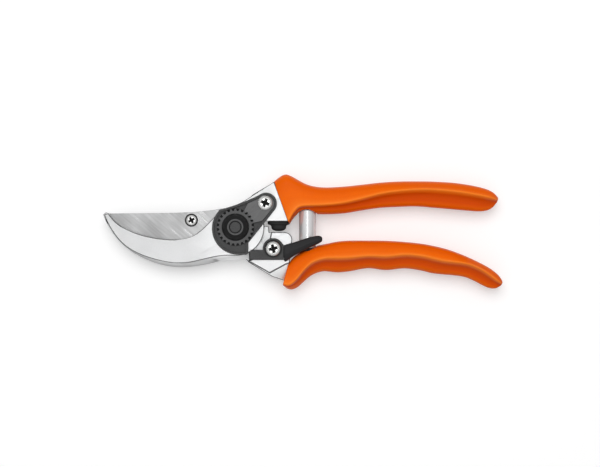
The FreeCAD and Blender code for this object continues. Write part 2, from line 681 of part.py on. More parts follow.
def catch_plate():
    """Latch with a nose that butts on the lock plate's flat, and a boss round its screw."""
    left_x = lock_flat_x + catch_gap
    nose = catch_nose_radius
    edges = line_edges([V(left_x + nose, catch_top_y, 0), V(catch_right_x, catch_top_y, 0),
                        V(catch_right_x, catch_bottom_y, 0), V(left_x, catch_bottom_y, 0),
                        V(left_x, catch_top_y - nose, 0)])
    edges += arc_edges(V(left_x + nose, catch_top_y - nose, 0), nose, 180, 90)
    plate = slab(edges, z_catch, z_catch_top)
    shoulder = polygon([V(catch_screw_centre.x, catch_top_y, 0), V(catch_right_x, catch_top_y, 0),
                        V(catch_right_x, catch_screw_centre.y + 1.8, 0),
                        V(catch_screw_centre.x + 3.9, catch_screw_centre.y + 4.0, 0)], z_catch, z_catch_top)
    plate = plate.fuse([cylinder(catch_boss_radius, z_catch, z_catch_top, catch_screw_centre), shoulder,
                        catch_tail(0)])
    return plate.cut(cylinder(catch_shoulder_radius + running_fit, z_catch, z_catch_top, catch_screw_centre))


def catch_lever(plate):
    """Thumb lever moulded on the plate's tail."""
    tip = V(45.3, -6.3, 0)
    tip_radius = 1.6
    edges = curve_edges([V(catch_right_x, -9.7, 0), V(33.2, -7.7, 0), V(39.4, -5.6, 0),
                         tip + V(-0.5, tip_radius, 0)])
    edges.append(Part.Arc(tip + V(-0.5, tip_radius, 0), tip + V(tip_radius, 0.2, 0),
                          tip + V(0.4, -tip_radius, 0)).toShape())
    edges += curve_edges([tip + V(0.4, -tip_radius, 0), V(39.4, -10.3, 0), V(32.6, -13.7, 0),
                          V(29.2, -16.4, 0), V(27.2, -18.5, 0)])
    edges += line_edges([V(27.2, -18.5, 0), V(catch_right_x, -18.0, 0), V(catch_right_x, -9.7, 0)])
    return slab(edges, z_catch, z_catch + lever_thickness).cut(plate)


# ---------------------------------------------------------------- build and write every piece
def build():
    pieces = {}
    pieces["pivot_bolt"] = pivot_bolt()
    pieces["rear_washer"] = rear_washer()
    pieces["pivot_bush"] = pivot_bush()
    pieces["toothed_nut"] = toothed_nut()
    pieces["upper_handle_forging"] = upper_handle_forging()
    pieces["upper_grip"] = upper_grip(pieces["upper_handle_forging"])
    pieces["counter_blade"] = counter_blade()
    pieces["counter_blade_screws"] = counter_blade_screws()
    pieces["lock_plate"] = lock_plate()
    pieces["tooth_segment"] = tooth_segment()
    pieces["segment_screw"] = screw(segment_screw_centre, segment_screw_head_radius, segment_screw_radius,
                                    z_upper_head + screw_floor, z_lock_rim)
    pieces["bumper"] = bumper()
    pieces["upper_spring_seat"] = upper_spring_seat()
    pieces["volute_spring"] = volute_spring()
    pieces["lower_handle_forging"] = lower_handle_forging()
    pieces["lower_grip"] = lower_grip(pieces["lower_handle_forging"])
    pieces["cutting_blade"] = cutting_blade()
    pieces["blade_screw"] = screw(blade_screw_centre, blade_screw_head_radius, blade_screw_radius,
                                  z_lower_head + blade_screw_short, z_shear - blade_screw_sink)
    pieces["lower_spring_seat"] = lower_spring_seat()
    pieces["catch_screw"] = catch_screw()
    pieces["catch_washer"] = catch_washer()
    pieces["catch_plate"] = catch_plate()
    pieces["catch_lever"] = catch_lever(pieces["catch_plate"])
    return pieces


os.makedirs("parts", exist_ok=True)
for name, shape in build().items():
    shape = shape.removeSplitter()
    if len(shape.Solids) == 1:
        shape = shape.Solids[0]
    print(f"{name:22s} solids {len(shape.Solids)} valid {shape.isValid()} volume {shape.Volume:9.1f}")
    shape.exportStep(f"parts/{name}.step")
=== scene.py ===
import math

import bmesh
import bpy
from bpy.props import FloatProperty, FloatVectorProperty, IntProperty, PointerProperty
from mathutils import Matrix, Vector


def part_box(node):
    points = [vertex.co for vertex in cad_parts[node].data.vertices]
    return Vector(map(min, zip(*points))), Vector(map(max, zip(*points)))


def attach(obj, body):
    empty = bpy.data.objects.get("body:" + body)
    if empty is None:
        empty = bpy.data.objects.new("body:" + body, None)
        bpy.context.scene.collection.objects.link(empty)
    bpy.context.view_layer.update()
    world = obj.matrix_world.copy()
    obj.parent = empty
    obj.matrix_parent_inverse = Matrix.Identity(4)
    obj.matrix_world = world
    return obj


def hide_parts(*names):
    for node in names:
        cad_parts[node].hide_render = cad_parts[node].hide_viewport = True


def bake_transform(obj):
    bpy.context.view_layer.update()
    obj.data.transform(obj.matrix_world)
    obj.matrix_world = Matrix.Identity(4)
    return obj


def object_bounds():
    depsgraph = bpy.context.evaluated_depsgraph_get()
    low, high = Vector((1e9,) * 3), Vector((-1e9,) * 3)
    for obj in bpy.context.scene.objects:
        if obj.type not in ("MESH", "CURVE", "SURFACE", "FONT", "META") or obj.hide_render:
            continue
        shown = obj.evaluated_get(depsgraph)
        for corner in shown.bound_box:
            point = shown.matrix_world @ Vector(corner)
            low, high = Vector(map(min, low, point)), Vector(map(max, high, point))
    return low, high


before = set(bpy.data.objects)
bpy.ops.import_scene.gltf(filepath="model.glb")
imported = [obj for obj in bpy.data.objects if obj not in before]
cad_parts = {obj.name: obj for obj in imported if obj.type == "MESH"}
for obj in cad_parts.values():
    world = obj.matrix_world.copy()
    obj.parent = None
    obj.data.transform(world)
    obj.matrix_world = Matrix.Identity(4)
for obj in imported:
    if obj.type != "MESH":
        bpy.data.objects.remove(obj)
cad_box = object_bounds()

bl_info = {
    "name": "Bypass pruning shears",
    "version": (1, 0, 0),
    "blender": (4, 5, 0),
    "location": "3D View > Sidebar > Shears",
    "description": "Finished pieces of one-hand bypass pruning shears, built round their packed parts",
    "category": "Object",
}

MM = 0.001

# Rows along a grip, in millimetres: the top edge's x and y, the bottom edge's x and y,
# how far up the ridge lies (0 bottom, 1 top), and half the thickness.
PALM_GRIP_ROWS = [
    (20.7, 24.9, 29.1, 1.7, 0.10, 8.7),
    (24.2, 27.6, 30.0, 3.1, 0.11, 8.9),
    (27.0, 28.6, 31.0, 4.6, 0.13, 9.0),
    (30.0, 27.6, 32.4, 6.2, 0.16, 9.0),
    (33.7, 25.5, 34.4, 7.6, 0.21, 9.0),
    (37.5, 23.5, 37.2, 7.6, 0.27, 9.0),
    (42.2, 22.1, 42.0, 7.1, 0.33, 9.0),
    (48.5, 21.5, 48.5, 6.9, 0.37, 9.0),
    (58.4, 22.0, 58.4, 7.4, 0.41, 9.0),
    (68.0, 23.0, 68.0, 9.0, 0.47, 9.0),
    (77.8, 24.1, 77.8, 10.4, 0.56, 9.0),
    (87.0, 24.7, 87.0, 10.9, 0.62, 9.0),
    (97.0, 24.8, 97.0, 11.2, 0.66, 9.0),
    (106.0, 24.7, 106.0, 10.5, 0.68, 9.0),
    (116.7, 24.1, 116.7, 9.6, 0.67, 8.9),
    (125.0, 23.0, 124.6, 8.9, 0.66, 8.6),
    (131.5, 21.7, 130.6, 8.5, 0.65, 8.2),
    (136.1, 20.3, 134.8, 8.8, 0.64, 7.5),
    (139.4, 18.4, 138.2, 10.2, 0.62, 6.0),
    (141.4, 16.2, 140.6, 12.9, 0.58, 3.4),
]
FINGER_GRIP_ROWS = [
    (28.9, -19.0, 25.6, -31.6, 0.12, 8.7),
    (30.2, -17.1, 27.8, -33.3, 0.16, 8.9),
    (32.3, -15.1, 30.6, -33.7, 0.24, 9.0),
    (35.3, -13.3, 33.6, -32.3, 0.34, 9.0),
    (38.7, -11.6, 36.8, -29.4, 0.43, 9.0),
    (43.0, -10.2, 41.0, -26.0, 0.49, 9.0),
    (48.5, -9.0, 47.0, -23.9, 0.50, 9.0),
    (55.0, -7.7, 54.5, -24.5, 0.49, 9.0),
    (61.6, -7.2, 61.6, -23.9, 0.47, 9.0),
    (71.3, -7.2, 71.3, -22.2, 0.47, 9.0),
    (81.0, -7.3, 81.0, -23.3, 0.49, 9.0),
    (91.0, -7.9, 91.0, -22.3, 0.54, 9.0),
    (100.5, -8.9, 100.0, -23.5, 0.56, 9.0),
    (107.0, -10.1, 105.8, -24.9, 0.55, 8.9),
    (113.5, -11.7, 112.0, -25.6, 0.54, 8.8),
    (119.9, -13.9, 117.8, -26.1, 0.60, 8.7),
    (126.4, -16.6, 123.6, -27.0, 0.68, 8.5),
    (132.0, -19.3, 128.5, -29.0, 0.70, 8.2),
    (136.6, -21.8, 132.7, -31.2, 0.68, 7.7),
    (140.2, -24.4, 136.6, -32.9, 0.64, 6.9),
    (142.7, -27.0, 140.2, -33.1, 0.60, 5.4),
    (143.9, -29.2, 142.6, -31.9, 0.55, 3.2),
]
# Thumb lever of the catch, in millimetres: x, top edge y, bottom edge y, ridge height share.
LEVER_ROWS = [
    (25.95, -9.5, -18.2, 0.90),
    (26.8, -9.3, -18.6, 1.0),
    (28.2, -8.9, -17.9, 1.0),
    (30.4, -8.3, -16.2, 1.0),
    (33.2, -7.4, -14.5, 1.0),
    (36.3, -6.4, -12.9, 0.97),
    (39.4, -5.4, -11.3, 0.93),
    (42.4, -4.75, -9.9, 0.90),
    (44.6, -4.5, -8.9, 0.84),
    (45.8, -4.85, -8.1, 0.74),
]
# Share of the painted highlight along the ridge (crest) and of the painted shade on the band under the top
# edge and on the face below the ridge, by place in a grip's ring.
RIDGE_HIGHLIGHT_SHARES = {6: 0.35, 7: 1.0, 8: 0.45}
PAINTED_SHADE_SHARES = {3: 0.25, 4: 0.30, 9: 1.0, 10: 0.9, 11: 0.35}
# Rubber stop, from its band down: share of the height, half width in millimetres, share of the depth.
BUMPER_ROWS = [
    (0.0, 5.5, 0.88), (0.03, 5.9, 0.96), (0.12, 6.05, 1.0), (0.25, 6.0, 0.98), (0.33, 5.5, 0.93),
    (0.38, 4.7, 0.88), (0.45, 4.2, 0.86), (0.58, 4.05, 0.86), (0.72, 3.85, 0.83), (0.84, 3.4, 0.76),
    (0.92, 2.7, 0.63), (0.975, 1.7, 0.42), (1.0, 0.6, 0.15),
]
# Height of the bumper's tongue inside the forging in millimetres, how square its section is, and its points.
BUMPER_TONGUE = 2.0
BUMPER_SQUARENESS = 0.7
BUMPER_STEPS = 40
# How a grip's collar closes, from inside: drawn in by so many lips and further millimetres, and out by lips.
COLLAR_STEPS = ((2.4, 1.6, 1.0), (2.0, 0.0, 1.0), (0.7, 0.0, 0.8))
# How a grip's nose closes, in millimetres drawn in and onward.
NOSE_STEPS = ((0.5, 0.28), (1.4, 0.38))
# The thumb lever's section: share of its height from the bottom edge, and of its thickness.
LEVER_SECTION = (
    (0.0, 0.10), (0.02, 0.52), (0.10, 0.74), (0.36, 0.93), (0.44, 1.0), (0.52, 0.98), (0.74, 0.88),
    (0.93, 0.80), (0.985, 0.62), (1.0, 0.12), (0.9, 0.0), (0.5, 0.0), (0.1, 0.0),
)
# Millimetres of tang left whole inside a grip, then over which it thins, and inside which edges stay sharp.
TANG_WHOLE = 8
TANG_TAPER = 6
HIDDEN_EDGES = 9
# Thickness of a spring seat's plate, and how far its pocket reaches inwards from the spring's end.
SEAT_PLATE = 1.5 * MM
SEAT_REACH = 9.0 * MM
# Ends of the blade's straight spine in millimetres, and the height that tells spine from cutting edge.
SPINE_TIP = (-68.2, 7.45)
SPINE_HEAD = (-30.0, 7.9)
SPINE_FLOOR = 5.6 * MM
EDGE_CEILING = 7.25 * MM
# Room that the ground edge leaves round the blade's head and its screw.
HEAD_ROOM = 0.15 * MM
SCREW_ROOM = 3.5 * MM
# How far the grinding cutter reaches inside and outside the edge, and below the blade.
CUTTER_INSIDE = 0.3 * MM
CUTTER_OUTSIDE = 1.2 * MM
CUTTER_BELOW = 3 * MM
# Radius round the pivot inside which the hook's plate keeps its square edge.
HOOK_SQUARE_RADIUS = 12.5 * MM
# Radius and height of the nut's boss above the flange's underside, in millimetres.
NUT_PROFILE = [
    (2.95, 0.0), (8.75, 0.0), (8.75, 1.22), (8.6, 1.4), (7.45, 1.4), (7.25, 1.25), (7.1, 1.4),
    (7.05, 1.95), (6.75, 2.6), (6.15, 3.05), (5.3, 3.28), (4.5, 3.3), (4.35, 3.36), (4.2, 3.58),
    (3.75, 3.6), (3.55, 3.45), (3.3, 3.1), (2.95, 2.9),
]
# Bands of the nut's face finished lighter, the raised rim round the bolt's end and the flange with its teeth:
# inner and outer radius in millimetres.
LIGHTER_BANDS = ((3.4, 4.3), (7.3, 10.5))
# How far a tooth's root reaches into the flange, and the rounding along its top.
TOOTH_ROOTED = 0.4 * MM
TOOTH_ROUNDING = (0.12 * MM, 0.10 * MM)
# Radius and height of a pan head over the face that it sits on, as shares of the head's radius.
SCREW_PROFILE = [(0.99, 0.0), (1.0, 0.06), (0.995, 0.13), (0.95, 0.20), (0.86, 0.255), (0.70, 0.28)]
# The head's crown and the rings over the cross, and how low and how far out the painted shade in the cross
# begins, in head radii.
HEAD_CROWN = 0.287
RECESS_RADII = (0.62, 0.54, 0.46, 0.39, 0.33, 0.27, 0.22, 0.17, 0.12, 0.07)
SHADE_DEPTH = 0.055
SHADE_RADIUS = 0.64
# How far a screw's head stands over the face that it sits on.
HEAD_HEIGHT = 1.15 * MM
# Near-black collars, painted shade for the shaded gap round a screw's head: piece, screw, wall, drop below
# the head's top and height, in millimetres.
SCREW_SHADE_COLLARS = (("blade_screw_collar", "blade_screw", 0.55, 0.62, 0.14),
                 ("catch_screw_collar", "catch_screw", 0.75, 1.18, 0.55))
# Points round turned pieces, screw heads and pockets.
NUT_STEPS = 96
HEAD_STEPS = 72
POCKET_STEPS = 56
# Middle of the picture, and the main lamp's place, across from the shears' middle, and size in metres.
PICTURE_MIDDLE = (34.6 * MM, -3.4 * MM)
KEY_LAMP = (-0.05, 0.42, 1.1)
KEY_SIZE = 0.8
# Brightness of the sky by height, and the heights between which the overhead lamp comes up.
SKY_STOPS = ((0.0, 0.20), (0.40, 0.36), (0.84, 0.58), (0.985, 0.74))
OVERHEAD_RIM = (0.9962, 0.9990)

EVEN = (1.0, 1.0, 1.0)
# A finish: its colour, two shares of it that the grain mixes, metallic, roughness and how far it varies, the
# grain's scale, turn in degrees and stretch, the bump's depth in millimetres, and what else it has.
FINISHES = {
    "orange_vinyl": ("orange", 1.0, 1.0, 0.0, 0.30, 0.08, 900.0, 0.0, EVEN, 0.010,
                     {"coat": 0.12, "specular": 0.05}),
    "blasted_aluminium": ("aluminium", 1.0, 0.95, 1.0, 0.32, 0.08, 1600.0, 0.0, EVEN, 0.03,
                          {"scratched": 0.35}),
    # Near-black rounding along the forgings' edges: painted shade that draws their outlines.
    "forging_edge": ("aluminium", 0.16, 0.30, 1.0, 0.36, 0.10, 700.0, 0.0, EVEN, 0.03, {}),
    "brushed_blade_steel": ("blade_steel", 1.0, 0.76, 1.0, 0.32, 0.14, 950.0, -40.0, (16.0, 1.0, 1.0),
                            0.012, {}),
    "strip_steel": ("blade_steel", 1.30, 1.07, 1.0, 0.38, 0.16, 900.0, 8.0, (12.0, 1.0, 1.0), 0.012, {}),
    "blackened_steel": ("dark_steel", 1.0, 0.75, 0.1, 0.50, 0.16, 1500.0, 0.0, EVEN, 0.03,
                        {"scratched": 0.3, "specular": 0.2}),
    # Near-black rounding along the dark steel parts' edges: painted shade that draws their outlines.
    "dark_steel_edge": ("dark_steel", 0.09, 0.22, 0.0, 0.50, 0.12, 420.0, 0.0, EVEN, 0.02,
                        {"specular": 0.15}),
    "black_nut_steel": ("dark_steel", 0.13, 0.08, 0.0, 0.46, 0.14, 1500.0, 0.0, EVEN, 0.02,
                        {"wear_colour": (0.10, 0.10, 0.10, 1.0), "wear": 0.9, "specular": 0.2}),
    "worn_nut_steel": ("dark_steel", 1.5, 1.1, 0.1, 0.46, 0.14, 1500.0, 0.0, EVEN, 0.02, {"specular": 0.2}),
    # Darker steel for the screws' crosses: painted shade in the recess.
    "recess_grime": ("dark_steel", 0.08, 0.2, 0.0, 0.7, 0.14, 1500.0, 0.0, EVEN, 0.02, {"specular": 0.2}),
    "brushed_dark_steel": ("dark_steel", 2.0, 1.5, 0.1, 0.46, 0.12, 1500.0, 42.0, (6.0, 1.0, 1.0), 0.008,
                           {"specular": 0.3}),
    "greased_floor": ("dark_steel", 1.0, 0.8, 0.2, 0.50, 0.16, 1500.0, 0.0, EVEN, 0.03, {"specular": 0.3}),
    "plated_zinc": ("zinc", 1.0, 0.86, 1.0, 0.24, 0.12, 1200.0, 0.0, EVEN, 0.008, {"scratched": 0.3}),
    "bright_chrome": ("chrome", 1.0, 0.94, 0.55, 0.16, 0.06, 700.0, 0.0, (1.0, 9.0, 1.0), 0.003, {}),
    "turned_bronze": ("bronze", 1.0, 0.75, 1.0, 0.34, 0.14, 900.0, 0.0, (1.0, 1.0, 6.0), 0.01, {}),
    "moulded_plastic": ("black_plastic", 1.0, 1.8, 0.0, 0.42, 0.12, 2200.0, 0.0, EVEN, 0.03,
                        {"wear_colour": (0.05, 0.05, 0.05, 1.0), "wear": 0.5, "specular": 0.35}),
    "moulded_rubber": ("rubber", 1.0, 2.2, 0.0, 0.68, 0.16, 1300.0, 0.0, EVEN, 0.04, {}),
    "pale_floor": ("floor", 1.0, 0.99, 0.0, 0.8, 0.1, 300.0, 0.0, EVEN, 0.01, {"specular": 0.2}),
}


# ---------------------------------------------------------------- sizes and colours
def length(name, millimetres, description):
    return FloatProperty(name=name, default=millimetres * MM, unit="LENGTH", description=description)


def number(name, default, description):
    return FloatProperty(name=name, default=default, description=description)


def count(name, default, least, description):
    return IntProperty(name=name, default=default, min=least, description=description)


def colour(name, red, green, blue, description):
    return FloatVectorProperty(name=name, subtype="COLOR", size=4, default=(red, green, blue, 1.0),
                               description=description)


class GripSizes(bpy.types.PropertyGroup):
    under_face_drop: length("Under face drop", 5.2, "How far the face below the ridge falls back")
    lip: length("Collar lip", 0.45, "Rounding of the collar's edge towards the forging")
    pocket_gap: length("Spring pocket gap", 0.5, "Free space round the spring's seat in a grip")
    rows_between: count("Rows between", 4, 1, "Smooth steps from one measured row to the next")


class MetalSizes(bpy.types.PropertyGroup):
    forging_edge: length("Forging edge", 0.42, "Rounding of the forgings' edges")
    tang_thinning: number("Tang thinning", 0.45, "Share of the tang's thickness left out inside a grip")
    plate_edge: length("Plate edge", 0.2, "Rounding of the stamped plates' edges")
    fine_edge: length("Fine edge", 0.08, "Rounding of the small turned pieces and blades")
    ground_width: length("Ground bevel", 5.2, "Width of the bevel ground on the cutting blade's back")
    edge_land: length("Edge land", 0.18, "Steel left at the cutting edge under the bevel")
    hook_bevel: length("Hook bevel", 2.0, "Width of the slope along the hook's outside")
    hook_drop: length("Hook bevel drop", 0.85, "How far that slope falls towards the back")


class PivotSizes(bpy.types.PropertyGroup):
    tooth_count: count("Teeth", 24, 6, "Teeth round the nut")
    tooth_root: length("Tooth root radius", 8.7, "Radius where the nut's teeth begin")
    tooth_tip: length("Tooth tip radius", 9.95, "Radius where the nut's teeth end")
    tooth_height: length("Tooth height", 1.3, "Thickness of the nut's teeth")


class ScrewSizes(bpy.types.PropertyGroup):
    recess_depth: number("Recess depth", 0.22, "Depth of the cross, in head radii")
    recess_reach: number("Recess reach", 0.62, "Reach of the cross, in head radii")
    recess_arm: number("Recess arm", 0.13, "Half width of one arm of the cross, in head radii")


class SpringSizes(bpy.types.PropertyGroup):
    strip: length("Strip thickness", 0.7, "Thickness of the rolled strip")
    turns: number("Turns", 2.3, "Turns of the rolled strip")
    seam_angle: FloatProperty(name="Seam angle", default=math.radians(77), subtype="ANGLE",
                              description="Where the strip's outer end lies, up from the X direction")
    inner_radius: length("Inner radius", 2.9, "Radius of the innermost turn")


class ShearsColours(bpy.types.PropertyGroup):
    orange: colour("Grip orange", 0.90, 0.140, 0.0, "Vinyl of the grips")
    orange_deep: colour("Grip deep orange", 0.86, 0.122, 0.0, "Darker patches of the vinyl")
    # Painted shade on the grips' faces that turn away from the light
    orange_painted_shade: colour("Grip hollows", 0.68, 0.066, 0.0, "Deep vinyl in the hollows")
    # Painted highlight along the grips' ridge
    orange_painted_highlight: colour("Grip ridge", 1.0, 0.235, 0.02, "Thin vinyl on the ridge")
    aluminium: colour("Aluminium", 0.90, 0.905, 0.91, "Blasted forgings")
    blade_steel: colour("Blade steel", 0.60, 0.602, 0.605, "Ground blades")
    zinc: colour("Zinc", 0.88, 0.88, 0.87, "Plated screws")
    dark_steel: colour("Dark steel", 0.082, 0.0823, 0.083, "Blackened plates and nut")
    chrome: colour("Chrome", 0.90, 0.91, 0.92, "Plated spring")
    bronze: colour("Bronze", 0.50, 0.29, 0.11, "Pivot bush")
    black_plastic: colour("Black plastic", 0.012, 0.012, 0.013, "Thumb lever")
    # Black rubber of the bumper; the same black on the screws' collars is painted shade round their heads
    rubber: colour("Rubber", 0.010, 0.010, 0.010, "Bumper and the screws' collars")
    floor: colour("Floor", 0.72, 0.72, 0.72, "Surface under the shears")


class StudioSizes(bpy.types.PropertyGroup):
    camera_height: length("Camera height", 900.0, "Height of the camera over the shears' middle plane")
    view_width: length("View width", 324.0, "Width that the picture shows at the shears")
    key_power: number("Key power", 7.2, "Power of the main lamp in watts")
    floor_glow: number("Floor glow", 0.36, "Share of the floor's brightness that no shadow takes away")
    sky: number("Sky", 1.0, "Brightness straight above")
    overhead_lamp: number("Overhead lamp", 5.0, "How much brighter the small lamp beside the camera is")


# ---------------------------------------------------------------- mesh helpers
def mesh_object(name, bm):
    """New object at the origin from a bmesh, with smooth faces."""
    mesh = bpy.data.meshes.new(name)
    bm.to_mesh(mesh)
    bm.free()
    for face in mesh.polygons:
        face.use_smooth = True
    piece = bpy.data.objects.new(name, mesh)
    bpy.context.scene.collection.objects.link(piece)
    return piece


def apply_modifiers(piece, sharp_angle=35.0):
    """Turns a piece with modifiers into a plain mesh whose creases stay crisp."""
    bpy.context.view_layer.update()
    evaluated = piece.evaluated_get(bpy.context.evaluated_depsgraph_get())
    mesh = bpy.data.meshes.new_from_object(evaluated)
    piece.modifiers.clear()
    old = piece.data
    piece.data = mesh
    bpy.data.meshes.remove(old)
    mesh.name = piece.name
    for face in mesh.polygons:
        face.use_smooth = True
    mesh.set_sharp_from_angle(angle=math.radians(sharp_angle))
    return piece


def clean(bm, distance=0.002 * MM):
    bmesh.ops.remove_doubles(bm, verts=bm.verts, dist=distance)
    bmesh.ops.recalc_face_normals(bm, faces=bm.faces)


def part_bmesh(part):
    """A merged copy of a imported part's mesh, with its flat faces joined up again."""
    bm = bmesh.new()
    bm.from_mesh(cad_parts[part].data)
    for layers in (bm.verts.layers, bm.edges.layers, bm.loops.layers, bm.faces.layers):
        for kind in ("float", "int", "float_vector", "bool", "uv"):
            kept = getattr(layers, kind, None)
            while kept is not None and len(kept):
                kept.remove(kept[0])
    bmesh.ops.remove_doubles(bm, verts=bm.verts, dist=0.004 * MM)
    bmesh.ops.dissolve_degenerate(bm, edges=bm.edges, dist=0.001 * MM)
    bmesh.ops.dissolve_limit(bm, angle_limit=math.radians(0.6), verts=bm.verts, edges=bm.edges)
    bmesh.ops.recalc_face_normals(bm, faces=bm.faces)
    return bm


def soften(piece, width, material, edge_material=None, weighted=False):
    """Rounds a piece's creases, or its weighted edges only; the rounding may get a darker finish of its own,
    painted shade along the edges.
    """
    coat_with(piece, material)
    bevel = piece.modifiers.new("Soft edges", "BEVEL")
    if edge_material is not None:
        piece.data.materials.append(edge_material)
        bevel.material = 1
    bevel.width = width
    bevel.segments = 2
    bevel.limit_method = "WEIGHT" if weighted else "ANGLE"
    bevel.angle_limit = math.radians(35.0)
    bevel.use_clamp_overlap = not weighted
    flat = piece.modifiers.new("Flat faces stay flat", "WEIGHTED_NORMAL")
    flat.keep_sharp = True
    flat.weight = 80
    return apply_modifiers(piece)


def softened_copy(part, name, width, material, edge_material=None):
    return soften(mesh_object(name, part_bmesh(part)), width, material, edge_material)


def smoothed(piece, sharp_angle):
    """Subdivides a coarse piece twice."""
    smooth = piece.modifiers.new("Smooth", "SUBSURF")
    smooth.levels = 2
    smooth.render_levels = 2
    return apply_modifiers(piece, sharp_angle)


def cut_with(piece, cutter):
    """Takes the cutter's space out of the piece, and removes the cutter."""
    cut = piece.modifiers.new("Cut", "BOOLEAN")
    cut.operation = "DIFFERENCE"
    cut.solver = "EXACT"
    cut.object = cutter
    apply_modifiers(piece)
    mesh = cutter.data
    bpy.data.objects.remove(cutter)
    bpy.data.meshes.remove(mesh)
    return piece


def circle(radius, steps):
    """Points (x, y) round a circle."""
    angles = [2 * math.pi * step / steps for step in range(steps)]
    return [(radius * math.cos(angle), radius * math.sin(angle)) for angle in angles]


def middle_of(ring):
    return sum(ring, Vector()) / len(ring)


def loft(bm, rings):
    """Skin over closed rings of the same number of points, closed at both ends."""
    rows = [[bm.verts.new(point) for point in ring] for ring in rings]
    around = len(rows[0])
    for low, high in zip(rows, rows[1:]):
        for i in range(around):
            j = (i + 1) % around
            bm.faces.new((low[i], low[j], high[j], high[i]))
    for row in (rows[0], rows[-1]):
        middle = bm.verts.new(sum((vertex.co for vertex in row), Vector()) / around)
        for i in range(around):
            bm.faces.new((row[i], row[(i + 1) % around], middle))
    return rows


def lofted(name, rings, merge=0.002 * MM):
    """A piece that is a skin over rings."""
    bm = bmesh.new()
    loft(bm, rings)
    clean(bm, merge)
    return mesh_object(name, bm)


def turned(name, profile, steps, base):
    """A piece that is a closed profile of (radius, height) turned about the vertical through the base."""
    bm = bmesh.new()
    rings = []
    for across, along in circle(1.0, steps):
        rings.append([bm.verts.new(base + Vector((r * across, r * along, h))) for r, h in profile])
    for low, high in zip(rings, rings[1:] + rings[:1]):
        for i in range(len(profile)):
            j = (i + 1) % len(profile)
            bm.faces.new((low[i], high[i], high[j], low[j]))
    clean(bm)
    return mesh_object(name, bm)


def smooth_rows(rows, steps):
    """The rows with in-between rows on a smooth curve through them."""
    dense = []
    for i in range(len(rows) - 1):
        before = rows[max(i - 1, 0)]
        after = rows[min(i + 2, len(rows) - 1)]
        for step in range(steps):
            t = step / steps
            dense.append([0.5 * (2 * b + (c - a) * t + (2 * a - 5 * b + 4 * c - d) * t ** 2
                                 + (3 * b - 3 * c + d - a) * t ** 3)
                          for a, b, c, d in zip(before, rows[i], rows[i + 1], after)])
    dense.append(list(rows[-1]))
    return dense


def coat_with(piece, material):
    """One finish all over a piece."""
    piece.data.materials.clear()
    piece.data.materials.append(material)
    for face in piece.data.polygons:
        face.material_index = 0


def finished(piece, body, nodes, material=None):
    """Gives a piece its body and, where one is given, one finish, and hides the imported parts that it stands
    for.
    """
    if material is not None:
        coat_with(piece, material)
    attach(piece, body)
    if nodes:
        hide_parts(*nodes)
    return piece


def finish_where(piece, material, chosen):
    """Gives the chosen faces of a piece a finish of their own."""
    piece.data.materials.append(material)
    for face in piece.data.polygons:
        if chosen(face):
            face.material_index = len(piece.data.materials) - 1


# ---------------------------------------------------------------- shader helpers
def feed(tree, socket, value):
    """Gives an input a link from a socket, or a plain value."""
    if isinstance(value, bpy.types.NodeSocket):
        tree.links.new(value, socket)
    else:
        socket.default_value = value


def node(tree, kind, inputs=None, **settings):
    """New node with its settings, and its inputs by name."""
    made = tree.nodes.new(kind)
    for name, value in settings.items():
        setattr(made, name, value)
    for name, value in (inputs or {}).items():
        feed(tree, made.inputs[name], value)
    return made


def mask(tree, name, values=None):
    """A shared mask group, built when it is first used, placed with its own values."""
    group = bpy.data.node_groups.get(name) or mask_group(name)
    placed = node(tree, "ShaderNodeGroup", node_tree=group)
    for label, value in (values or {}).items():
        feed(tree, placed.inputs[label], value)
    return placed.outputs["Mask"]


def mask_group(name):
    """Builds a group from its row in MASKS: its inputs with their defaults, and what makes the mask."""
    inputs, fill = MASKS[name]
    tree = bpy.data.node_groups.new(name, "ShaderNodeTree")
    for label, default in inputs.items():
        kind = "NodeSocketVector" if isinstance(default, tuple) else "NodeSocketFloat"
        tree.interface.new_socket(label, in_out="INPUT", socket_type=kind).default_value = default
    tree.interface.new_socket("Mask", in_out="OUTPUT", socket_type="NodeSocketFloat")
    given = node(tree, "NodeGroupInput").outputs
    node(tree, "NodeGroupOutput", {"Mask": fill(tree, given)})
    return tree


def maths(tree, operation, first, second=None, clamp=False):
    """Maths node; each input is a socket or a number."""
    made = node(tree, "ShaderNodeMath", operation=operation, use_clamp=clamp)
    for socket, value in zip(made.inputs, (first, second)):
        if value is not None:
            feed(tree, socket, value)
    return made.outputs[0]


def ranged(tree, value, low, high, out_low=0.0, out_high=1.0):
    limits = {"Value": value, "From Min": low, "From Max": high, "To Min": out_low, "To Max": out_high}
    return node(tree, "ShaderNodeMapRange", limits, clamp=True).outputs["Result"]


def mixed(tree, factor, first, second):
    made = node(tree, "ShaderNodeMix", data_type="RGBA",
                inputs={"Factor": factor, "A": first, "B": second})
    return made.outputs["Result"]


def grain(tree, given):
    """Grain in the piece's own space, drawn out along a direction by Stretch after Turn."""
    place = node(tree, "ShaderNodeTexCoord").outputs["Object"]
    spun = node(tree, "ShaderNodeMapping", vector_type="TEXTURE",
                inputs={"Vector": place, "Rotation": given["Turn"], "Scale": given["Stretch"]})
    noise = node(tree, "ShaderNodeTexNoise", {"Vector": spun.outputs["Vector"], "Scale": given["Scale"],
                                              "Detail": given["Detail"], "Roughness": 0.55})
    return noise.outputs["Fac"]


def edge_wear(tree, given):
    """Broken line of wear along outward edges."""
    edge = ranged(tree, node(tree, "ShaderNodeNewGeometry").outputs["Pointiness"], 0.52, 0.60)
    patches = ranged(tree, mask(tree, "Grain", {"Scale": given["Break up"]}), 0.35, 0.6)
    worn = maths(tree, "MULTIPLY", edge, patches)
    return maths(tree, "MULTIPLY", worn, given["Amount"], clamp=True)


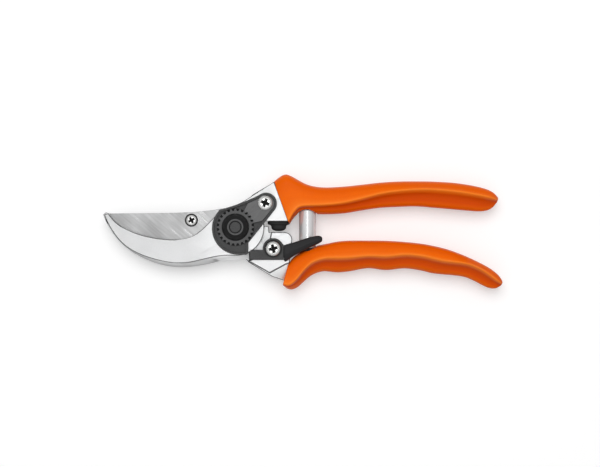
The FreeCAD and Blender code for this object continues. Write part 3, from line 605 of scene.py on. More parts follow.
def scratches(tree, given):
    """Sparse fine scratches in two directions."""
    found = []
    for turn in (0.5, -0.9):
        lines = mask(tree, "Grain", {"Scale": given["Scale"], "Turn": (0.0, 0.0, turn),
                                     "Stretch": (14.0, 0.35, 1.0), "Detail": 1.0})
        found.append(maths(tree, "GREATER_THAN", lines, given["Sparseness"]))
    return maths(tree, "MAXIMUM", found[0], found[1])


def handling(tree, given):
    """Soft handled patches, a few millimetres wide."""
    return ranged(tree, mask(tree, "Grain", {"Scale": given["Scale"], "Detail": 4.0}), 0.38, 0.64)


def ring_band(tree, given):
    """The band between two radii round the vertical axis through the origin."""
    place = node(tree, "ShaderNodeTexCoord").outputs["Object"]
    split = node(tree, "ShaderNodeSeparateXYZ", {"Vector": place}).outputs
    squares = [maths(tree, "MULTIPLY", split[axis], split[axis]) for axis in ("X", "Y")]
    radius = maths(tree, "SQRT", maths(tree, "ADD", squares[0], squares[1]))
    inside = maths(tree, "GREATER_THAN", radius, given["Inner"])
    within = maths(tree, "LESS_THAN", radius, given["Outer"])
    return maths(tree, "MULTIPLY", inside, within)


MASKS = {
    "Grain": ({"Scale": 1000.0, "Turn": (0.0, 0.0, 0.0), "Stretch": EVEN, "Detail": 3.0}, grain),
    "Edge wear": ({"Amount": 1.0, "Break up": 500.0}, edge_wear),
    "Scratches": ({"Scale": 260.0, "Sparseness": 0.66}, scratches),
    "Handling": ({"Scale": 60.0}, handling),
    "Ring": ({"Inner": 0.008, "Outer": 0.010}, ring_band),
}


def finish_material(name, base, second, metallic, roughness, change, scale, turn, stretch, bump_depth,
                    wear_colour=None, wear=0.0, scratched=0.0, coat=0.0, specular=0.5):
    """Material whose colour, roughness and bump come from the shared groups."""
    material = bpy.data.materials.new(name)
    material.use_nodes = True
    tree = material.node_tree
    lines = mask(tree, "Grain", {"Scale": scale, "Turn": (0.0, 0.0, math.radians(turn)),
                                 "Stretch": stretch})
    both = maths(tree, "ADD", maths(tree, "MULTIPLY", ranged(tree, lines, 0.3, 0.7), 0.65),
                 maths(tree, "MULTIPLY", mask(tree, "Handling"), 0.35))
    tint = mixed(tree, both, base, second)
    if wear > 0:
        tint = mixed(tree, mask(tree, "Edge wear", {"Amount": wear}), tint, wear_colour)
    rough = maths(tree, "ADD", roughness - change / 2, maths(tree, "MULTIPLY", both, change))
    height = lines
    if scratched > 0:
        cut = mask(tree, "Scratches")
        rough = maths(tree, "ADD", rough, maths(tree, "MULTIPLY", cut, 0.12 * scratched))
        height = maths(tree, "SUBTRACT", height, maths(tree, "MULTIPLY", cut, scratched))
    bump = node(tree, "ShaderNodeBump", {"Strength": 1.0, "Distance": bump_depth, "Height": height})
    values = {"Base Color": tint, "Roughness": rough, "Normal": bump.outputs["Normal"],
              "Metallic": metallic, "Coat Weight": coat, "Coat Roughness": 0.12,
              "Specular IOR Level": specular}
    for label, value in values.items():
        feed(tree, tree.nodes["Principled BSDF"].inputs[label], value)
    return material


def shade(tint, share):
    return (tint[0] * share, tint[1] * share, tint[2] * share, 1.0)


def finish(name):
    """The named finish, made from its row in FINISHES when it is first used."""
    existing = bpy.data.materials.get(name)
    if existing:
        return existing
    colours = bpy.context.scene.shears_colours
    field, first, second, metallic, roughness, change, scale, turn, stretch, bump, more = FINISHES[name]
    tint = getattr(colours, field)
    other = colours.orange_deep if field == "orange" else shade(tint, second)
    return finish_material(name, shade(tint, first), other, metallic, roughness, change,
                           scale, turn, stretch, bump * MM, **more)


def painted(material, amount, tint):
    """Lays a colour over a material's own, by an amount from 0 to 1."""
    tree = material.node_tree
    socket = tree.nodes["Principled BSDF"].inputs["Base Color"]
    feed(tree, socket, mixed(tree, amount, socket.links[0].from_socket, tint))


def orange_vinyl(colours):
    """Dipped vinyl, with a painted highlight along the ridge and painted shade on the band under the top edge
    and on the face below the ridge.
    """
    material = finish("orange_vinyl")
    tree = material.node_tree
    # painted shade first, then the painted highlight on the ridge
    for layer, tint in (("cove", colours.orange_painted_shade), ("crest", colours.orange_painted_highlight)):
        share = node(tree, "ShaderNodeAttribute", attribute_name=layer).outputs["Fac"]
        painted(material, ranged(tree, share, 0.05, 0.75, 0.0, 0.9), tint)
    return material


def greased_floor(colours, pivot):
    """Dark steel with painted shade in the ring between the nut's teeth."""
    material = finish("greased_floor")
    band = mask(material.node_tree, "Ring", {"Inner": 0.9 * pivot.tooth_root,
                                             "Outer": 1.008 * pivot.tooth_tip})
    painted(material, band, shade(colours.dark_steel, 0.10))
    return material


# ---------------------------------------------------------------- geometry node trees
def tree_for(name, inputs):
    """Empty geometry tree with a geometry input and output, and inputs named with their kinds."""
    tree = bpy.data.node_groups.new(name, "GeometryNodeTree")
    tree.interface.new_socket("Geometry", in_out="INPUT", socket_type="NodeSocketGeometry")
    for label, kind in inputs.items():
        tree.interface.new_socket(label, in_out="INPUT", socket_type="NodeSocket" + kind)
    tree.interface.new_socket("Geometry", in_out="OUTPUT", socket_type="NodeSocketGeometry")
    return tree, node(tree, "NodeGroupInput").outputs


def close_tree(tree, given, geometry):
    """Realize Instances and Set Material, then the output."""
    real = node(tree, "GeometryNodeRealizeInstances", {"Geometry": geometry})
    coloured = node(tree, "GeometryNodeSetMaterial", {"Geometry": real.outputs["Geometry"],
                                                      "Material": given["Material"]})
    node(tree, "NodeGroupOutput", {"Geometry": coloured.outputs["Geometry"]})
    return tree


def object_geometry(tree, socket):
    return node(tree, "GeometryNodeObjectInfo", {"Object": socket},
                transform_space="ORIGINAL").outputs["Geometry"]


def tooth_ring_tree():
    """Teeth set evenly round the vertical, joined to the incoming body."""
    tree, given = tree_for("Tooth ring", {"Count": "Int", "Radius": "Float", "Height": "Float",
                                          "Tooth": "Object", "Material": "Material"})
    circle = node(tree, "GeometryNodeMeshCircle", {"Vertices": given["Count"], "Radius": given["Radius"]})
    place = node(tree, "GeometryNodeInputPosition").outputs["Position"]
    aligned = node(tree, "FunctionNodeAlignRotationToVector", {"Vector": place}, axis="X", pivot_axis="Z")
    teeth = node(tree, "GeometryNodeInstanceOnPoints", {
        "Points": circle.outputs["Mesh"], "Instance": object_geometry(tree, given["Tooth"]),
        "Rotation": aligned.outputs["Rotation"]})
    lift = node(tree, "ShaderNodeCombineXYZ", {"Z": given["Height"]})
    raised = node(tree, "GeometryNodeTransform", {"Geometry": teeth.outputs["Instances"],
                                                  "Translation": lift.outputs["Vector"]})
    joined = node(tree, "GeometryNodeJoinGeometry", {"Geometry": given["Geometry"]})
    feed(tree, joined.inputs["Geometry"], raised.outputs["Geometry"])
    return close_tree(tree, given, joined.outputs["Geometry"])


def screw_tree():
    """A screw head on every point, sized and turned by the point's own numbers."""
    tree, given = tree_for("Screws at points", {"Head": "Object", "Material": "Material"})
    size, turn = [node(tree, "GeometryNodeInputNamedAttribute", {"Name": label},
                       data_type="FLOAT").outputs["Attribute"] for label in ("head_radius", "turn")]
    spin = node(tree, "ShaderNodeCombineXYZ", {"Z": turn})
    heads = node(tree, "GeometryNodeInstanceOnPoints", {
        "Points": given["Geometry"], "Instance": object_geometry(tree, given["Head"]),
        "Rotation": spin.outputs["Vector"], "Scale": size})
    return close_tree(tree, given, heads.outputs["Instances"])


def rolled_strip_tree():
    """Strip that follows a flat spiral, with its width along the spring's axis."""
    tree, given = tree_for("Rolled strip", {"Turns": "Float", "Inner": "Float", "Outer": "Float",
                                            "Low": "Vector", "High": "Vector", "Material": "Material"})
    spiral = node(tree, "GeometryNodeCurveSpiral", {"Resolution": 48, "Height": 0.0,
                                                    "Rotations": given["Turns"],
                                                    "Start Radius": given["Inner"],
                                                    "End Radius": given["Outer"]})
    upright = node(tree, "GeometryNodeSetCurveNormal", {"Curve": spiral.outputs["Curve"]}, mode="Z_UP")
    width = node(tree, "GeometryNodeCurvePrimitiveLine", {"Start": given["Low"], "End": given["High"]})
    divided = node(tree, "GeometryNodeResampleCurve", {"Count": 22, "Curve": width.outputs["Curve"]})
    strip = node(tree, "GeometryNodeCurveToMesh", {"Curve": upright.outputs["Curve"],
                                                   "Profile Curve": divided.outputs["Curve"]})
    return close_tree(tree, given, strip.outputs["Mesh"])


def with_tree(piece, tree, values):
    """Puts a tree on a piece as a modifier, with the named inputs."""
    modifier = piece.modifiers.new(tree.name, "NODES")
    modifier.node_group = tree
    for item in tree.interface.items_tree:
        if item.item_type == "SOCKET" and item.in_out == "INPUT" and item.name in values:
            modifier[item.identifier] = values[item.name]
    return piece


# ---------------------------------------------------------------- grips
def grip_ring(row, middle_z, drop):
    """One ring round a grip: flat face above the ridge, sloping face below it, same at the back."""
    top_x, top_y, bottom_x, bottom_y, ridge, half = row
    top = Vector((top_x, top_y, 0)) * MM
    bottom = Vector((bottom_x, bottom_y, 0)) * MM
    half *= MM
    # where the ridge lies close to the lower edge, the face below it falls back less
    drop = min(drop, 0.72 * ridge * (top - bottom).length)
    low = max(0.16, 1 - drop / half)
    crest = max(0.81, ridge + 0.10)
    below = ridge - 0.045
    foot = min(0.12, 0.6 * below)
    # share of the way up and of the half thickness, from the top edge over the ridge to the bottom edge
    front = [(1.0, 0.0), (0.992, 0.26), (0.965, 0.48), (0.915, 0.66), (crest, 0.80),
             ((crest + ridge) / 2, 0.905), (ridge + 0.05, 0.98), (ridge, 1.0), (below, 0.93),
             (below - 0.25 * (below - foot), 0.93 - 0.56 * (0.93 - low)),
             (below - 0.6 * (below - foot), 0.93 - 0.86 * (0.93 - low)), (foot, low),
             (0.4 * foot, 0.62 * low), (0.1 * foot, 0.32 * low), (0.0, 0.0)]
    back = [(along, -across) for along, across in front[-2:0:-1]]
    return [bottom.lerp(top, along) + Vector((0, 0, middle_z + across * half))
            for along, across in front + back]


def shrunk(ring, amount, shift):
    """The ring drawn in towards its middle by an amount, and moved."""
    middle = middle_of(ring)
    return [point + (middle - point).normalized() * min(amount, 0.9 * (middle - point).length) + shift
            for point in ring]


def grip(name, node_name, seat_name, rows, sizes):
    low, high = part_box(node_name)
    middle_z = (low.z + high.z) / 2
    rings = [grip_ring(row, middle_z, sizes.under_face_drop) for row in smooth_rows(rows, sizes.rows_between)]
    outward = (middle_of(rings[0]) - middle_of(rings[2])).normalized()
    collar = [shrunk(rings[0], lips * sizes.lip + further * MM, outward * out * sizes.lip)
              for lips, further, out in COLLAR_STEPS]
    onward = (middle_of(rings[-1]) - middle_of(rings[-3])).normalized()
    nose = [shrunk(rings[-1], inwards * MM, onward * on * MM) for inwards, on in NOSE_STEPS]
    bm = bmesh.new()
    # layers for the painted highlight along the ridge (crest) and the painted shade on the faces turned from
    # the light
    crest = bm.verts.layers.float.new("crest")
    cove = bm.verts.layers.float.new("cove")
    for row in loft(bm, collar + rings + nose):
        for i, vertex in enumerate(row):
            place = min(i, len(row) - i)
            vertex[crest] = RIDGE_HIGHLIGHT_SHARES.get(place, 0.0)
            vertex[cove] = PAINTED_SHADE_SHARES.get(place, 0.0)
    clean(bm)
    piece = smoothed(mesh_object(name, bm), 180.0)
    cut_with(piece, spring_pocket(seat_name, sizes.pocket_gap, towards_middle=(low.y + high.y) / 2))
    piece.data.set_sharp_from_angle(angle=math.radians(50))
    return piece


def spring_pocket(seat_name, gap, towards_middle):
    """Cylinder on the spring's axis from the back of its seat to beyond the grip's surface."""
    low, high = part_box(seat_name)
    spring_low, spring_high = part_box("volute_spring")
    radius = (high.x - low.x) / 2 + gap
    axis_x = (low.x + high.x) / 2
    axis_z = (low.z + high.z) / 2
    # the seat's plate lies at the spring's end; its stem reaches on into the grip
    if towards_middle > 0:
        reach = (spring_high.y - SEAT_REACH, spring_high.y + SEAT_PLATE)
    else:
        reach = (spring_low.y - SEAT_PLATE, spring_low.y + SEAT_REACH)
    rings = [[Vector((axis_x + x, y, axis_z + z)) for x, z in circle(radius, POCKET_STEPS)] for y in reach]
    return lofted("pocket_cutter", rings)


# ---------------------------------------------------------------- operators
class SHEARS_OT_grips(bpy.types.Operator):
    """Two dipped grips with a ridge, a slanted collar and a pocket for the spring's seat"""
    bl_idname = "shears.grips"
    bl_label = "Make the grips"

    def execute(self, context):
        sizes = context.scene.shears_grip
        vinyl = orange_vinyl(context.scene.shears_colours)
        palm = grip("palm_grip", "upper_grip", "upper_spring_seat", PALM_GRIP_ROWS, sizes)
        finished(palm, "upper", ["upper_grip"], vinyl)
        finger = grip("finger_grip", "lower_grip", "lower_spring_seat", FINGER_GRIP_ROWS, sizes)
        finished(finger, "lower", ["lower_grip"], vinyl)
        return {"FINISHED"}


class SHEARS_OT_forgings(bpy.types.Operator):
    """The two aluminium forgings with rounded edges"""
    bl_idname = "shears.forgings"
    bl_label = "Make the forgings"

    def execute(self, context):
        sizes = context.scene.shears_metal
        for name, body, part, collar in (("palm_forging", "upper", "upper_handle_forging", "upper_grip"),
                                         ("finger_forging", "lower", "lower_handle_forging", "lower_grip")):
            bm = part_bmesh(part)
            self.thin_tang(bm, collar, sizes)
            self.weigh_edges(bm, collar, sizes.forging_edge)
            # the rounding gets the dark forging_edge finish, painted shade along the edges
            piece = soften(mesh_object(name, bm), sizes.forging_edge, finish("blasted_aluminium"),
                           finish("forging_edge"), weighted=True)
            finished(piece, body, [part])
        return {"FINISHED"}

    def weigh_edges(self, bm, grip_node, width):
        """Marks the creases outside the grip for rounding, less where there is little room beside them."""
        hidden_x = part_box(grip_node)[0].x + HIDDEN_EDGES * MM
        weight = bm.edges.layers.float.new("bevel_weight_edge")
        creases = {edge for edge in bm.edges
                   if len(edge.link_faces) == 2 and edge.calc_face_angle(0) > math.radians(48)
                   and all(vertex.co.x < hidden_x for vertex in edge.verts)}
        for edge in creases:
            beside = [other.calc_length() for vertex in edge.verts for other in vertex.link_edges
                      if other not in creases]
            room = min(beside, default=width)
            edge[weight] = max(0.1, min(1.0, 0.8 * room / width))

    def thin_tang(self, bm, grip_node, sizes):
        """Thins the tang where the grip hides it, so that it stays under the grip's sloping faces."""
        low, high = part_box(grip_node)
        middle_z = (low.z + high.z) / 2
        start_x = low.x + TANG_WHOLE * MM
        for vertex in bm.verts:
            share = min(1.0, max(0.0, (vertex.co.x - start_x) / (TANG_TAPER * MM)))
            vertex.co.z = middle_z + (vertex.co.z - middle_z) * (1 - sizes.tang_thinning * share)


def cutting_edge_points(bm, low_z):
    """Points of the curved edge on the blade's back face, from the tip to the head."""
    screw_low, screw_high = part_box("blade_screw")
    screw_middle = (screw_low + screw_high) / 2
    head_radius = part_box("cutting_blade")[1].x
    found = []
    for vertex in bm.verts:
        point = vertex.co
        on_back = abs(point.z - low_z) < 0.01 * MM
        beyond_head = point.xy.length > head_radius + HEAD_ROOM
        clear_of_screw = (point.xy - screw_middle.xy).length > SCREW_ROOM
        if on_back and beyond_head and clear_of_screw and point.y < EDGE_CEILING:
            found.append(point.copy())
    return sorted(found, key=lambda point: point.x)


def straighten_spine(bm):
    """Draws the spine into one straight run from the point to the screw."""
    for vertex in bm.verts:
        if SPINE_TIP[0] < vertex.co.x / MM < SPINE_HEAD[0] and vertex.co.y > SPINE_FLOOR:
            share = (vertex.co.x / MM - SPINE_TIP[0]) / (SPINE_HEAD[0] - SPINE_TIP[0])
            vertex.co.y = (SPINE_TIP[1] + share * (SPINE_HEAD[1] - SPINE_TIP[1])) * MM


def ground_wedge(points, low_z, high_z, width, land):
    """Space that grinding takes off the blade's back along its edge."""
    rings = []
    for i, point in enumerate(points):
        along = (points[min(i + 1, len(points) - 1)] - points[max(i - 1, 0)]).normalized()
        outward = Vector((along.y, -along.x, 0))
        share = i / (len(points) - 1)
        fade = max(0.1, min(1.0, 0.35 + share * 7, (1 - share) * 9))
        inner = point - outward * (width * fade + CUTTER_INSIDE)
        outer = point + outward * CUTTER_OUTSIDE
        rise = (high_z - land - low_z) / (width * fade)
        corners = ((inner, low_z - CUTTER_INSIDE * rise), (outer, high_z - land + CUTTER_OUTSIDE * rise),
                   (outer, low_z - CUTTER_BELOW), (inner, low_z - CUTTER_BELOW))
        rings.append([Vector((place.x, place.y, z)) for place, z in corners])
    return lofted("grinding_cutter", rings)


class SHEARS_OT_blades(bpy.types.Operator):
    """Cutting blade with a ground bevel at the back, and the hook's steel plate with a sloped outside"""
    bl_idname = "shears.blades"
    bl_label = "Make the blades"

    def execute(self, context):
        sizes = context.scene.shears_metal
        low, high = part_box("cutting_blade")
        bm = part_bmesh("cutting_blade")
        edge = cutting_edge_points(bm, low.z)
        if len(edge) < 8:
            raise RuntimeError("the cutting blade's edge was not found")
        straighten_spine(bm)
        blade = mesh_object("cutting_blade_ground", bm)
        cut_with(blade, ground_wedge(edge, low.z, high.z, sizes.ground_width, sizes.edge_land))
        finished(blade, "lower", ["cutting_blade"], finish("brushed_blade_steel"))
        hook = mesh_object("hook_plate", self.sloped_hook(sizes.hook_bevel, sizes.hook_drop))
        soften(hook, sizes.fine_edge, finish("strip_steel"))
        finished(hook, "upper", ["counter_blade"])
        return {"FINISHED"}

    def sloped_hook(self, width, drop):
        """The plate with its front edge sloped along the outside of the hook."""
        high_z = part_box("counter_blade")[1].z
        bm = part_bmesh("counter_blade")
        chosen = []
        for edge in bm.edges:
            on_front = all(abs(vertex.co.z - high_z) < 0.01 * MM for vertex in edge.verts)
            walls = [face.normal for face in edge.link_faces if abs(face.normal.z) < 0.1]
            middle = (edge.verts[0].co + edge.verts[1].co) / 2
            outside = middle.x < -1.0 * MM and any(normal.y < -0.2 or normal.x < -0.75 for normal in walls)
            if on_front and outside and middle.xy.length > HOOK_SQUARE_RADIUS:
                chosen.append(edge)
        if not chosen:
            raise RuntimeError("the hook's outside edge was not found")
        bmesh.ops.bevel(bm, geom=chosen, offset=width, offset_type="OFFSET", segments=1, profile=0.5,
                        affect="EDGES", clamp_overlap=False)
        for vertex in bm.verts:
            if abs(vertex.co.z - (high_z - width)) < 0.02 * MM:
                vertex.co.z = high_z - drop
        clean(bm)
        return bm


class SHEARS_OT_pivot(bpy.types.Operator):
    """Toothed nut, pivot bolt, bush and rear washer"""
    bl_idname = "shears.pivot"
    bl_label = "Make the pivot"

    def execute(self, context):
        sizes = context.scene.shears_pivot
        metal = context.scene.shears_metal
        dark = finish("blackened_steel")
        nut = self.nut(sizes, dark)
        finished(nut, "upper", ["toothed_nut"], finish("black_nut_steel"))
        finish_where(nut, finish("worn_nut_steel"), self.in_lighter_band)
        # the bolt's rounded edge gets painted shade
        finished(softened_copy("pivot_bolt", "pivot_bolt_turned", metal.plate_edge, dark,
                               finish("dark_steel_edge")), "upper", ["pivot_bolt"])
        coat_with(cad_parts["pivot_bush"], finish("turned_bronze"))
        finished(softened_copy("rear_washer", "rear_washer_stamped", metal.fine_edge, finish("plated_zinc")),
                 "lower", ["rear_washer"])
        return {"FINISHED"}

    def in_lighter_band(self, face):
        reach = face.center.xy.length
        return any(inner * MM < reach < outer * MM for inner, outer in LIGHTER_BANDS)

    def nut(self, sizes, material):
        base = Vector((0, 0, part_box("toothed_nut")[0].z))
        piece = turned("nut_with_teeth", [(r * MM, h * MM) for r, h in NUT_PROFILE], NUT_STEPS, base)
        tooth = self.tooth(sizes)
        with_tree(piece, tooth_ring_tree(), {"Count": sizes.tooth_count, "Radius": sizes.tooth_root,
                                             "Height": base.z, "Tooth": tooth, "Material": material})
        apply_modifiers(piece)
        bpy.data.objects.remove(tooth)
        return piece

    def tooth(self, sizes):
        """One tooth pointing along X from its root."""
        reach = sizes.tooth_tip - sizes.tooth_root
        pitch = 2 * math.pi * sizes.tooth_root / sizes.tooth_count
        root = 0.36 * pitch
        tip = 0.13 * sizes.tooth_tip / sizes.tooth_root * pitch
        high = sizes.tooth_height
        down, back = TOOTH_ROUNDING
        rings = []
        for z, inset in ((0, 0), (high - down, 0), (high, back)):
            rings.append([Vector((-TOOTH_ROOTED, -root, z)), Vector((reach - inset, -tip + inset / 2, z)),
                          Vector((reach - inset, tip - inset / 2, z)), Vector((-TOOTH_ROOTED, root, z))])
        return lofted("one_tooth", rings)


class SHEARS_OT_lock(bpy.types.Operator):
    """Lock plate with its raised rim, and the tooth segment"""
    bl_idname = "shears.lock"
    bl_label = "Make the lock plate"

    def execute(self, context):
        width = context.scene.shears_metal.plate_edge
        # the plate's and the segment's rounded edges get painted shade
        plate = softened_copy("lock_plate", "lock_plate_pressed", width, finish("blackened_steel"),
                              finish("dark_steel_edge"))
        finished(plate, "upper", ["lock_plate"])
        floor_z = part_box("tooth_segment")[0].z
        # the floor round the nut gets painted shade between the teeth
        finish_where(plate, greased_floor(context.scene.shears_colours, context.scene.shears_pivot),
                       lambda face: face.normal.z > 0.9 and face.center.z < floor_z + 0.05 * MM)
        finished(softened_copy("tooth_segment", "tooth_segment_brushed", 0.6 * width,
                               finish("brushed_dark_steel"), finish("dark_steel_edge")),
                 "upper", ["tooth_segment"])
        return {"FINISHED"}


class SHEARS_OT_screws(bpy.types.Operator):
    """Pan-head screws with a cross recess"""
    bl_idname = "shears.screws"
    bl_label = "Make the screws"

    def execute(self, context):
        zinc = finish("plated_zinc")
        head = self.head(context.scene.shears_screws)
        tree = screw_tree()
        for name, body, spots in (("handle_screws", "lower", (("blade_screw", 0.5), ("catch_screw", 0.25))),
                                  ("segment_screw_set", "upper", (("segment_screw", -0.35),))):
            piece = self.marked_points(name, spots)
            with_tree(piece, tree, {"Head": head, "Material": zinc})
            apply_modifiers(piece)
            finished(piece, body, [spot[0] for spot in spots], zinc)
            boxes = [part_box(spot[0]) for spot in spots]
            # faces deep in the cross get painted shade
            finish_where(piece, finish("recess_grime"), lambda face: self.in_recess(face, boxes))
        bpy.data.objects.remove(head)
        coat_with(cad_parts["counter_blade_screws"], zinc)
        self.collars()
        return {"FINISHED"}

    def marked_points(self, name, spots):
        """A point at the seat of every screw's head, with the head's radius and turn."""
        mesh = bpy.data.meshes.new(name)
        seats = []
        radii = []
        for spot, turn in spots:
            low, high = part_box(spot)
            radii.append((high.x - low.x) / 2)
            seats.append(((low.x + high.x) / 2, (low.y + high.y) / 2, high.z - HEAD_HEIGHT))
        mesh.from_pydata(seats, [], [])
        mesh.attributes.new("head_radius", "FLOAT", "POINT").data.foreach_set("value", radii)
        turns = [turn for spot, turn in spots]
        mesh.attributes.new("turn", "FLOAT", "POINT").data.foreach_set("value", turns)
        piece = bpy.data.objects.new(name, mesh)
        bpy.context.scene.collection.objects.link(piece)
        return piece

    def head(self, sizes):
        """Head of radius 1 with a tapered cross recess, as rings of points about the middle."""
        rings = [[Vector((x, y, h)) for x, y in circle(r, HEAD_STEPS)] for r, h in SCREW_PROFILE]
        rings += [[Vector((x, y, HEAD_CROWN - self.recess(x, y, sizes))) for x, y in circle(r, HEAD_STEPS)]
                  for r in RECESS_RADII]
        return lofted("one_screw_head", rings, 1e-5)

    def in_recess(self, face, boxes):
        """Whether a face lies well inside the cross of one of the screws."""
        for low, high in boxes:
            radius = (high.x - low.x) / 2
            from_axis = (face.center.xy - ((low + high) / 2).xy).length
            if from_axis < SHADE_RADIUS * radius:
                return face.center.z < high.z - HEAD_HEIGHT + (HEAD_CROWN - SHADE_DEPTH) * radius
        return False

    def recess(self, x, y, sizes):
        """Depth of the cross at a point of the head."""
        deepest = 0.0
        for along, across in ((abs(x), abs(y)), (abs(y), abs(x))):
            side = min(1.0, max(0.0, (sizes.recess_arm * 1.5 - across) / (sizes.recess_arm * 0.75)))
            end = min(1.0, max(0.0, (sizes.recess_reach - along) / (0.45 * sizes.recess_reach)))
            deepest = max(deepest, side * min(1.0, end * 1.3))
        return sizes.recess_depth * deepest

    def collars(self):
        """Near-black collars round the blade's and the catch's screws, painted shade for the gap round each
        head.
        """
        for name, spot, wall, drop, height in SCREW_SHADE_COLLARS:
            low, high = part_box(spot)
            radius = (high.x - low.x) / 2
            base = Vector(((low.x + high.x) / 2, (low.y + high.y) / 2, high.z - drop * MM))
            inner = radius - 0.1 * MM
            outer = radius + wall * MM
            profile = [(inner, 0), (outer, 0), (outer, 0.7 * height * MM),
                       (radius + (wall - 0.12) * MM, height * MM), (inner, height * MM)]
            piece = turned(name, profile, HEAD_STEPS, base)
            piece.data.set_sharp_from_angle(angle=math.radians(40))
            finished(piece, "lower", [], finish("moulded_rubber"))


class SHEARS_OT_catch(bpy.types.Operator):
    """Catch plate, its washer and the moulded thumb lever"""
    bl_idname = "shears.catch"
    bl_label = "Make the catch"

    def execute(self, context):
        metal = context.scene.shears_metal
        # the catch plate's rounded edge gets painted shade
        plate = softened_copy("catch_plate", "catch_plate_pressed", metal.plate_edge,
                              finish("blackened_steel"), finish("dark_steel_edge"))
        finished(plate, "catch", ["catch_plate"])
        washer = softened_copy("catch_washer", "catch_washer_stamped", metal.fine_edge,
                               finish("plated_zinc"))
        finished(washer, "lower", ["catch_washer"])
        finished(self.lever(), "catch", ["catch_lever"], finish("moulded_plastic"))
        return {"FINISHED"}

    def lever(self):
        """Lever with a lengthwise ridge that falls away to both sides."""
        low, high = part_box("catch_lever")
        height = high.z - low.z
        rings = []
        for x, top, bottom, share in smooth_rows(LEVER_ROWS, 3):
            rings.append([Vector((x * MM, (bottom + along * (top - bottom)) * MM,
                                  low.z + (0.5 + (up - 0.5) * share) * height))
                          for along, up in LEVER_SECTION])
        rings.append(shrunk(rings[-1], 0.55 * MM, Vector((0.75 * MM, 0, 0))))
        return smoothed(lofted("thumb_lever", rings), 60.0)


class SHEARS_OT_spring(bpy.types.Operator):
    """Rolled strip spring between its two seats"""
    bl_idname = "shears.spring"
    bl_label = "Make the spring"

    def execute(self, context):
        sizes = context.scene.shears_spring
        chrome = finish("bright_chrome")
        low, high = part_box("volute_spring")
        axis = (low + high) / 2
        outer = (high.x - low.x) / 2 - sizes.strip / 2
        half = (high.y - low.y) / 2
        piece = bpy.data.objects.new("rolled_spring", bpy.data.meshes.new("rolled_spring"))
        context.scene.collection.objects.link(piece)
        with_tree(piece, rolled_strip_tree(), {"Turns": sizes.turns, "Inner": sizes.inner_radius,
                                               "Outer": outer, "Low": (0.0, -half, 0.0),
                                               "High": (0.0, half, 0.0), "Material": chrome})
        solid = piece.modifiers.new("Strip", "SOLIDIFY")
        solid.thickness = sizes.strip
        solid.offset = 0.0
        edge = piece.modifiers.new("Soft edges", "BEVEL")
        edge.width = 0.1 * MM
        edge.segments = 2
        apply_modifiers(piece)
        end_angle = sizes.seam_angle - 2 * math.pi * (sizes.turns % 1.0)
        for vertex in piece.data.vertices:
            x, y, z = vertex.co
            # the spiral lies in X and Y with its width along Z; it is stood along the spring's axis
            turned_x = x * math.cos(end_angle) - y * math.sin(end_angle)
            turned_z = x * math.sin(end_angle) + y * math.cos(end_angle)
            vertex.co = Vector((axis.x + turned_x, axis.y + z, axis.z + turned_z))
        bm = bmesh.new()
        bm.from_mesh(piece.data)
        clean(bm)
        bm.to_mesh(piece.data)
        bm.free()
        piece.data.set_sharp_from_angle(angle=math.radians(35))
        coat_with(piece, chrome)
        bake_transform(piece)
        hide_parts("volute_spring")
        # the zinc-plated seats are coated near-black: painted shade where the spring enters the grips'
        # pockets
        for part, body in (("upper_spring_seat", "upper"), ("lower_spring_seat", "lower")):
            seat = softened_copy(part, part + "_turned", context.scene.shears_metal.fine_edge,
                                 finish("black_nut_steel"))
            finished(seat, body, [part])
        return {"FINISHED"}


class SHEARS_OT_bumper(bpy.types.Operator):
    """Rubber stop between the handles"""
    bl_idname = "shears.bumper"
    bl_label = "Make the bumper"

    def execute(self, context):
        low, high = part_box("bumper")
        top = high.y - BUMPER_TONGUE * MM
        middle = (low + high) / 2
        rings = []
        for down, half_width, depth in smooth_rows(BUMPER_ROWS, 3):
            ring = []
            for cosine, sine in circle(1.0, BUMPER_STEPS):
                out_x = math.copysign(abs(cosine) ** BUMPER_SQUARENESS, cosine)
                out_z = math.copysign(abs(sine) ** BUMPER_SQUARENESS, sine)
                ring.append(Vector((middle.x + half_width * MM * out_x, top - down * (top - low.y),
                                    middle.z + depth * (high.z - low.z) / 2 * out_z)))
            rings.append(ring)
        finished(lofted("rubber_bumper", rings), "upper", ["bumper"],
                 finish("moulded_rubber"))
        return {"FINISHED"}


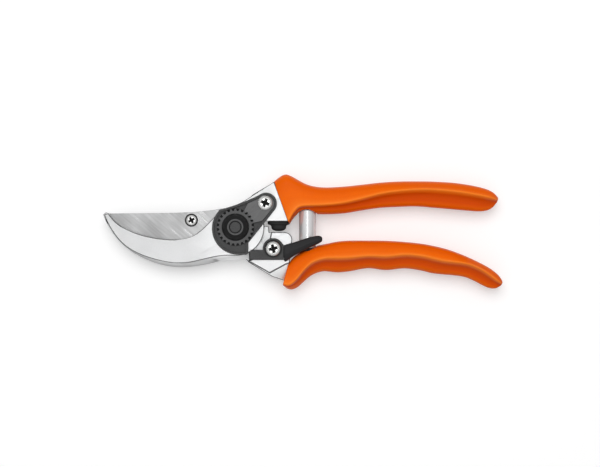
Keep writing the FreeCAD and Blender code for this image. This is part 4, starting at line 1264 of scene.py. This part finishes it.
class SHEARS_OT_stage(bpy.types.Operator):
    """Pale floor, soft lamps and the camera straight above"""
    bl_idname = "shears.stage"
    bl_label = "Make the stage"

    def execute(self, context):
        studio = context.scene.shears_studio
        low, high = cad_box
        middle = (Vector(low) + Vector(high)) / 2
        self.floor(context, Vector(low).z)
        self.sky(context, studio)
        place = Vector((middle.x + KEY_LAMP[0], KEY_LAMP[1], KEY_LAMP[2]))
        self.lamp(context, "key_lamp", place, middle, KEY_SIZE, studio.key_power)
        self.camera(context, middle, studio)
        context.scene.view_settings.view_transform = "Standard"
        return {"FINISHED"}

    def floor(self, context, z):
        bm = bmesh.new()
        bmesh.ops.create_grid(bm, x_segments=8, y_segments=8, size=2.5)
        bmesh.ops.translate(bm, verts=bm.verts, vec=Vector((0, 0, z - 0.1 * MM)))
        floor = mesh_object("floor", bm)
        material = finish("pale_floor")
        tree = material.node_tree
        shader = tree.nodes["Principled BSDF"]
        seen = node(tree, "ShaderNodeLightPath").outputs["Is Camera Ray"]
        feed(tree, shader.inputs["Emission Color"], (1.0, 1.0, 1.0, 1.0))
        feed(tree, shader.inputs["Emission Strength"],
             maths(tree, "MULTIPLY", seen, context.scene.shears_studio.floor_glow))
        self.see_through_from_below(tree, shader)
        floor.data.materials.append(material)

    def see_through_from_below(self, tree, shader):
        facing = node(tree, "ShaderNodeNewGeometry").outputs["Backfacing"]
        either = node(tree, "ShaderNodeMixShader", {"Fac": facing})
        feed(tree, either.inputs[1], shader.outputs["BSDF"])
        feed(tree, either.inputs[2], node(tree, "ShaderNodeBsdfTransparent").outputs["BSDF"])
        feed(tree, tree.nodes["Material Output"].inputs["Surface"], either.outputs["Shader"])

    def sky(self, context, studio):
        world = bpy.data.worlds.new("studio_sky")
        context.scene.world = world
        world.use_nodes = True
        tree = world.node_tree
        place = node(tree, "ShaderNodeTexCoord").outputs["Generated"]
        height = node(tree, "ShaderNodeSeparateXYZ", {"Vector": place}).outputs["Z"]
        ramp = node(tree, "ShaderNodeValToRGB", {"Fac": height})
        elements = ramp.color_ramp.elements
        while len(elements) < len(SKY_STOPS):
            elements.new(0.5)
        for element, (position, level) in zip(elements, SKY_STOPS):
            element.position = position
            element.color = (level, level, level, 1.0)
        background = tree.nodes["Background"]
        overhead = ranged(tree, height, *OVERHEAD_RIM, 1.0, 1.0 + studio.overhead_lamp)
        feed(tree, background.inputs["Color"], ramp.outputs["Color"])
        feed(tree, background.inputs["Strength"], maths(tree, "MULTIPLY", overhead, studio.sky))

    def lamp(self, context, name, place, target, size, power):
        lamp = bpy.data.lights.new(name, "AREA")
        lamp.shape = "SQUARE"
        lamp.size = size
        lamp.energy = power
        holder = bpy.data.objects.new(name, lamp)
        holder.location = place
        holder.rotation_euler = (target - place).to_track_quat("-Z", "Y").to_euler()
        holder.visible_glossy = False
        context.scene.collection.objects.link(holder)

    def camera(self, context, middle, studio):
        lens = bpy.data.cameras.new("camera")
        lens.sensor_width = 36.0
        lens.lens = lens.sensor_width * studio.camera_height / studio.view_width
        camera = bpy.data.objects.new("camera", lens)
        camera.location = Vector((*PICTURE_MIDDLE, middle.z + studio.camera_height))
        context.scene.collection.objects.link(camera)
        context.scene.camera = camera


class SHEARS_PT_panel(bpy.types.Panel):
    """Every step of the shears in order"""
    bl_idname = "SHEARS_PT_panel"
    bl_label = "Pruning shears"
    bl_space_type = "VIEW_3D"
    bl_region_type = "UI"
    bl_category = "Shears"

    def draw(self, context):
        for step in STEPS:
            self.layout.operator(step.bl_idname)


SETTINGS = (("shears_grip", GripSizes), ("shears_metal", MetalSizes), ("shears_pivot", PivotSizes),
            ("shears_screws", ScrewSizes), ("shears_spring", SpringSizes), ("shears_colours", ShearsColours),
            ("shears_studio", StudioSizes))
STEPS = (SHEARS_OT_grips, SHEARS_OT_forgings, SHEARS_OT_blades, SHEARS_OT_pivot, SHEARS_OT_lock,
         SHEARS_OT_screws, SHEARS_OT_catch, SHEARS_OT_spring, SHEARS_OT_bumper, SHEARS_OT_stage)


def register():
    for name, group in SETTINGS:
        bpy.utils.register_class(group)
        setattr(bpy.types.Scene, name, PointerProperty(type=group))
    for step in STEPS:
        bpy.utils.register_class(step)
    bpy.utils.register_class(SHEARS_PT_panel)


def unregister():
    bpy.utils.unregister_class(SHEARS_PT_panel)
    for step in reversed(STEPS):
        bpy.utils.unregister_class(step)
    for name, group in reversed(SETTINGS):
        delattr(bpy.types.Scene, name)
        bpy.utils.unregister_class(group)


def main():
    register()
    for step in STEPS:
        group, name = step.bl_idname.split(".")
        getattr(getattr(bpy.ops, group), name)()


if __name__ == "__main__":
    main()
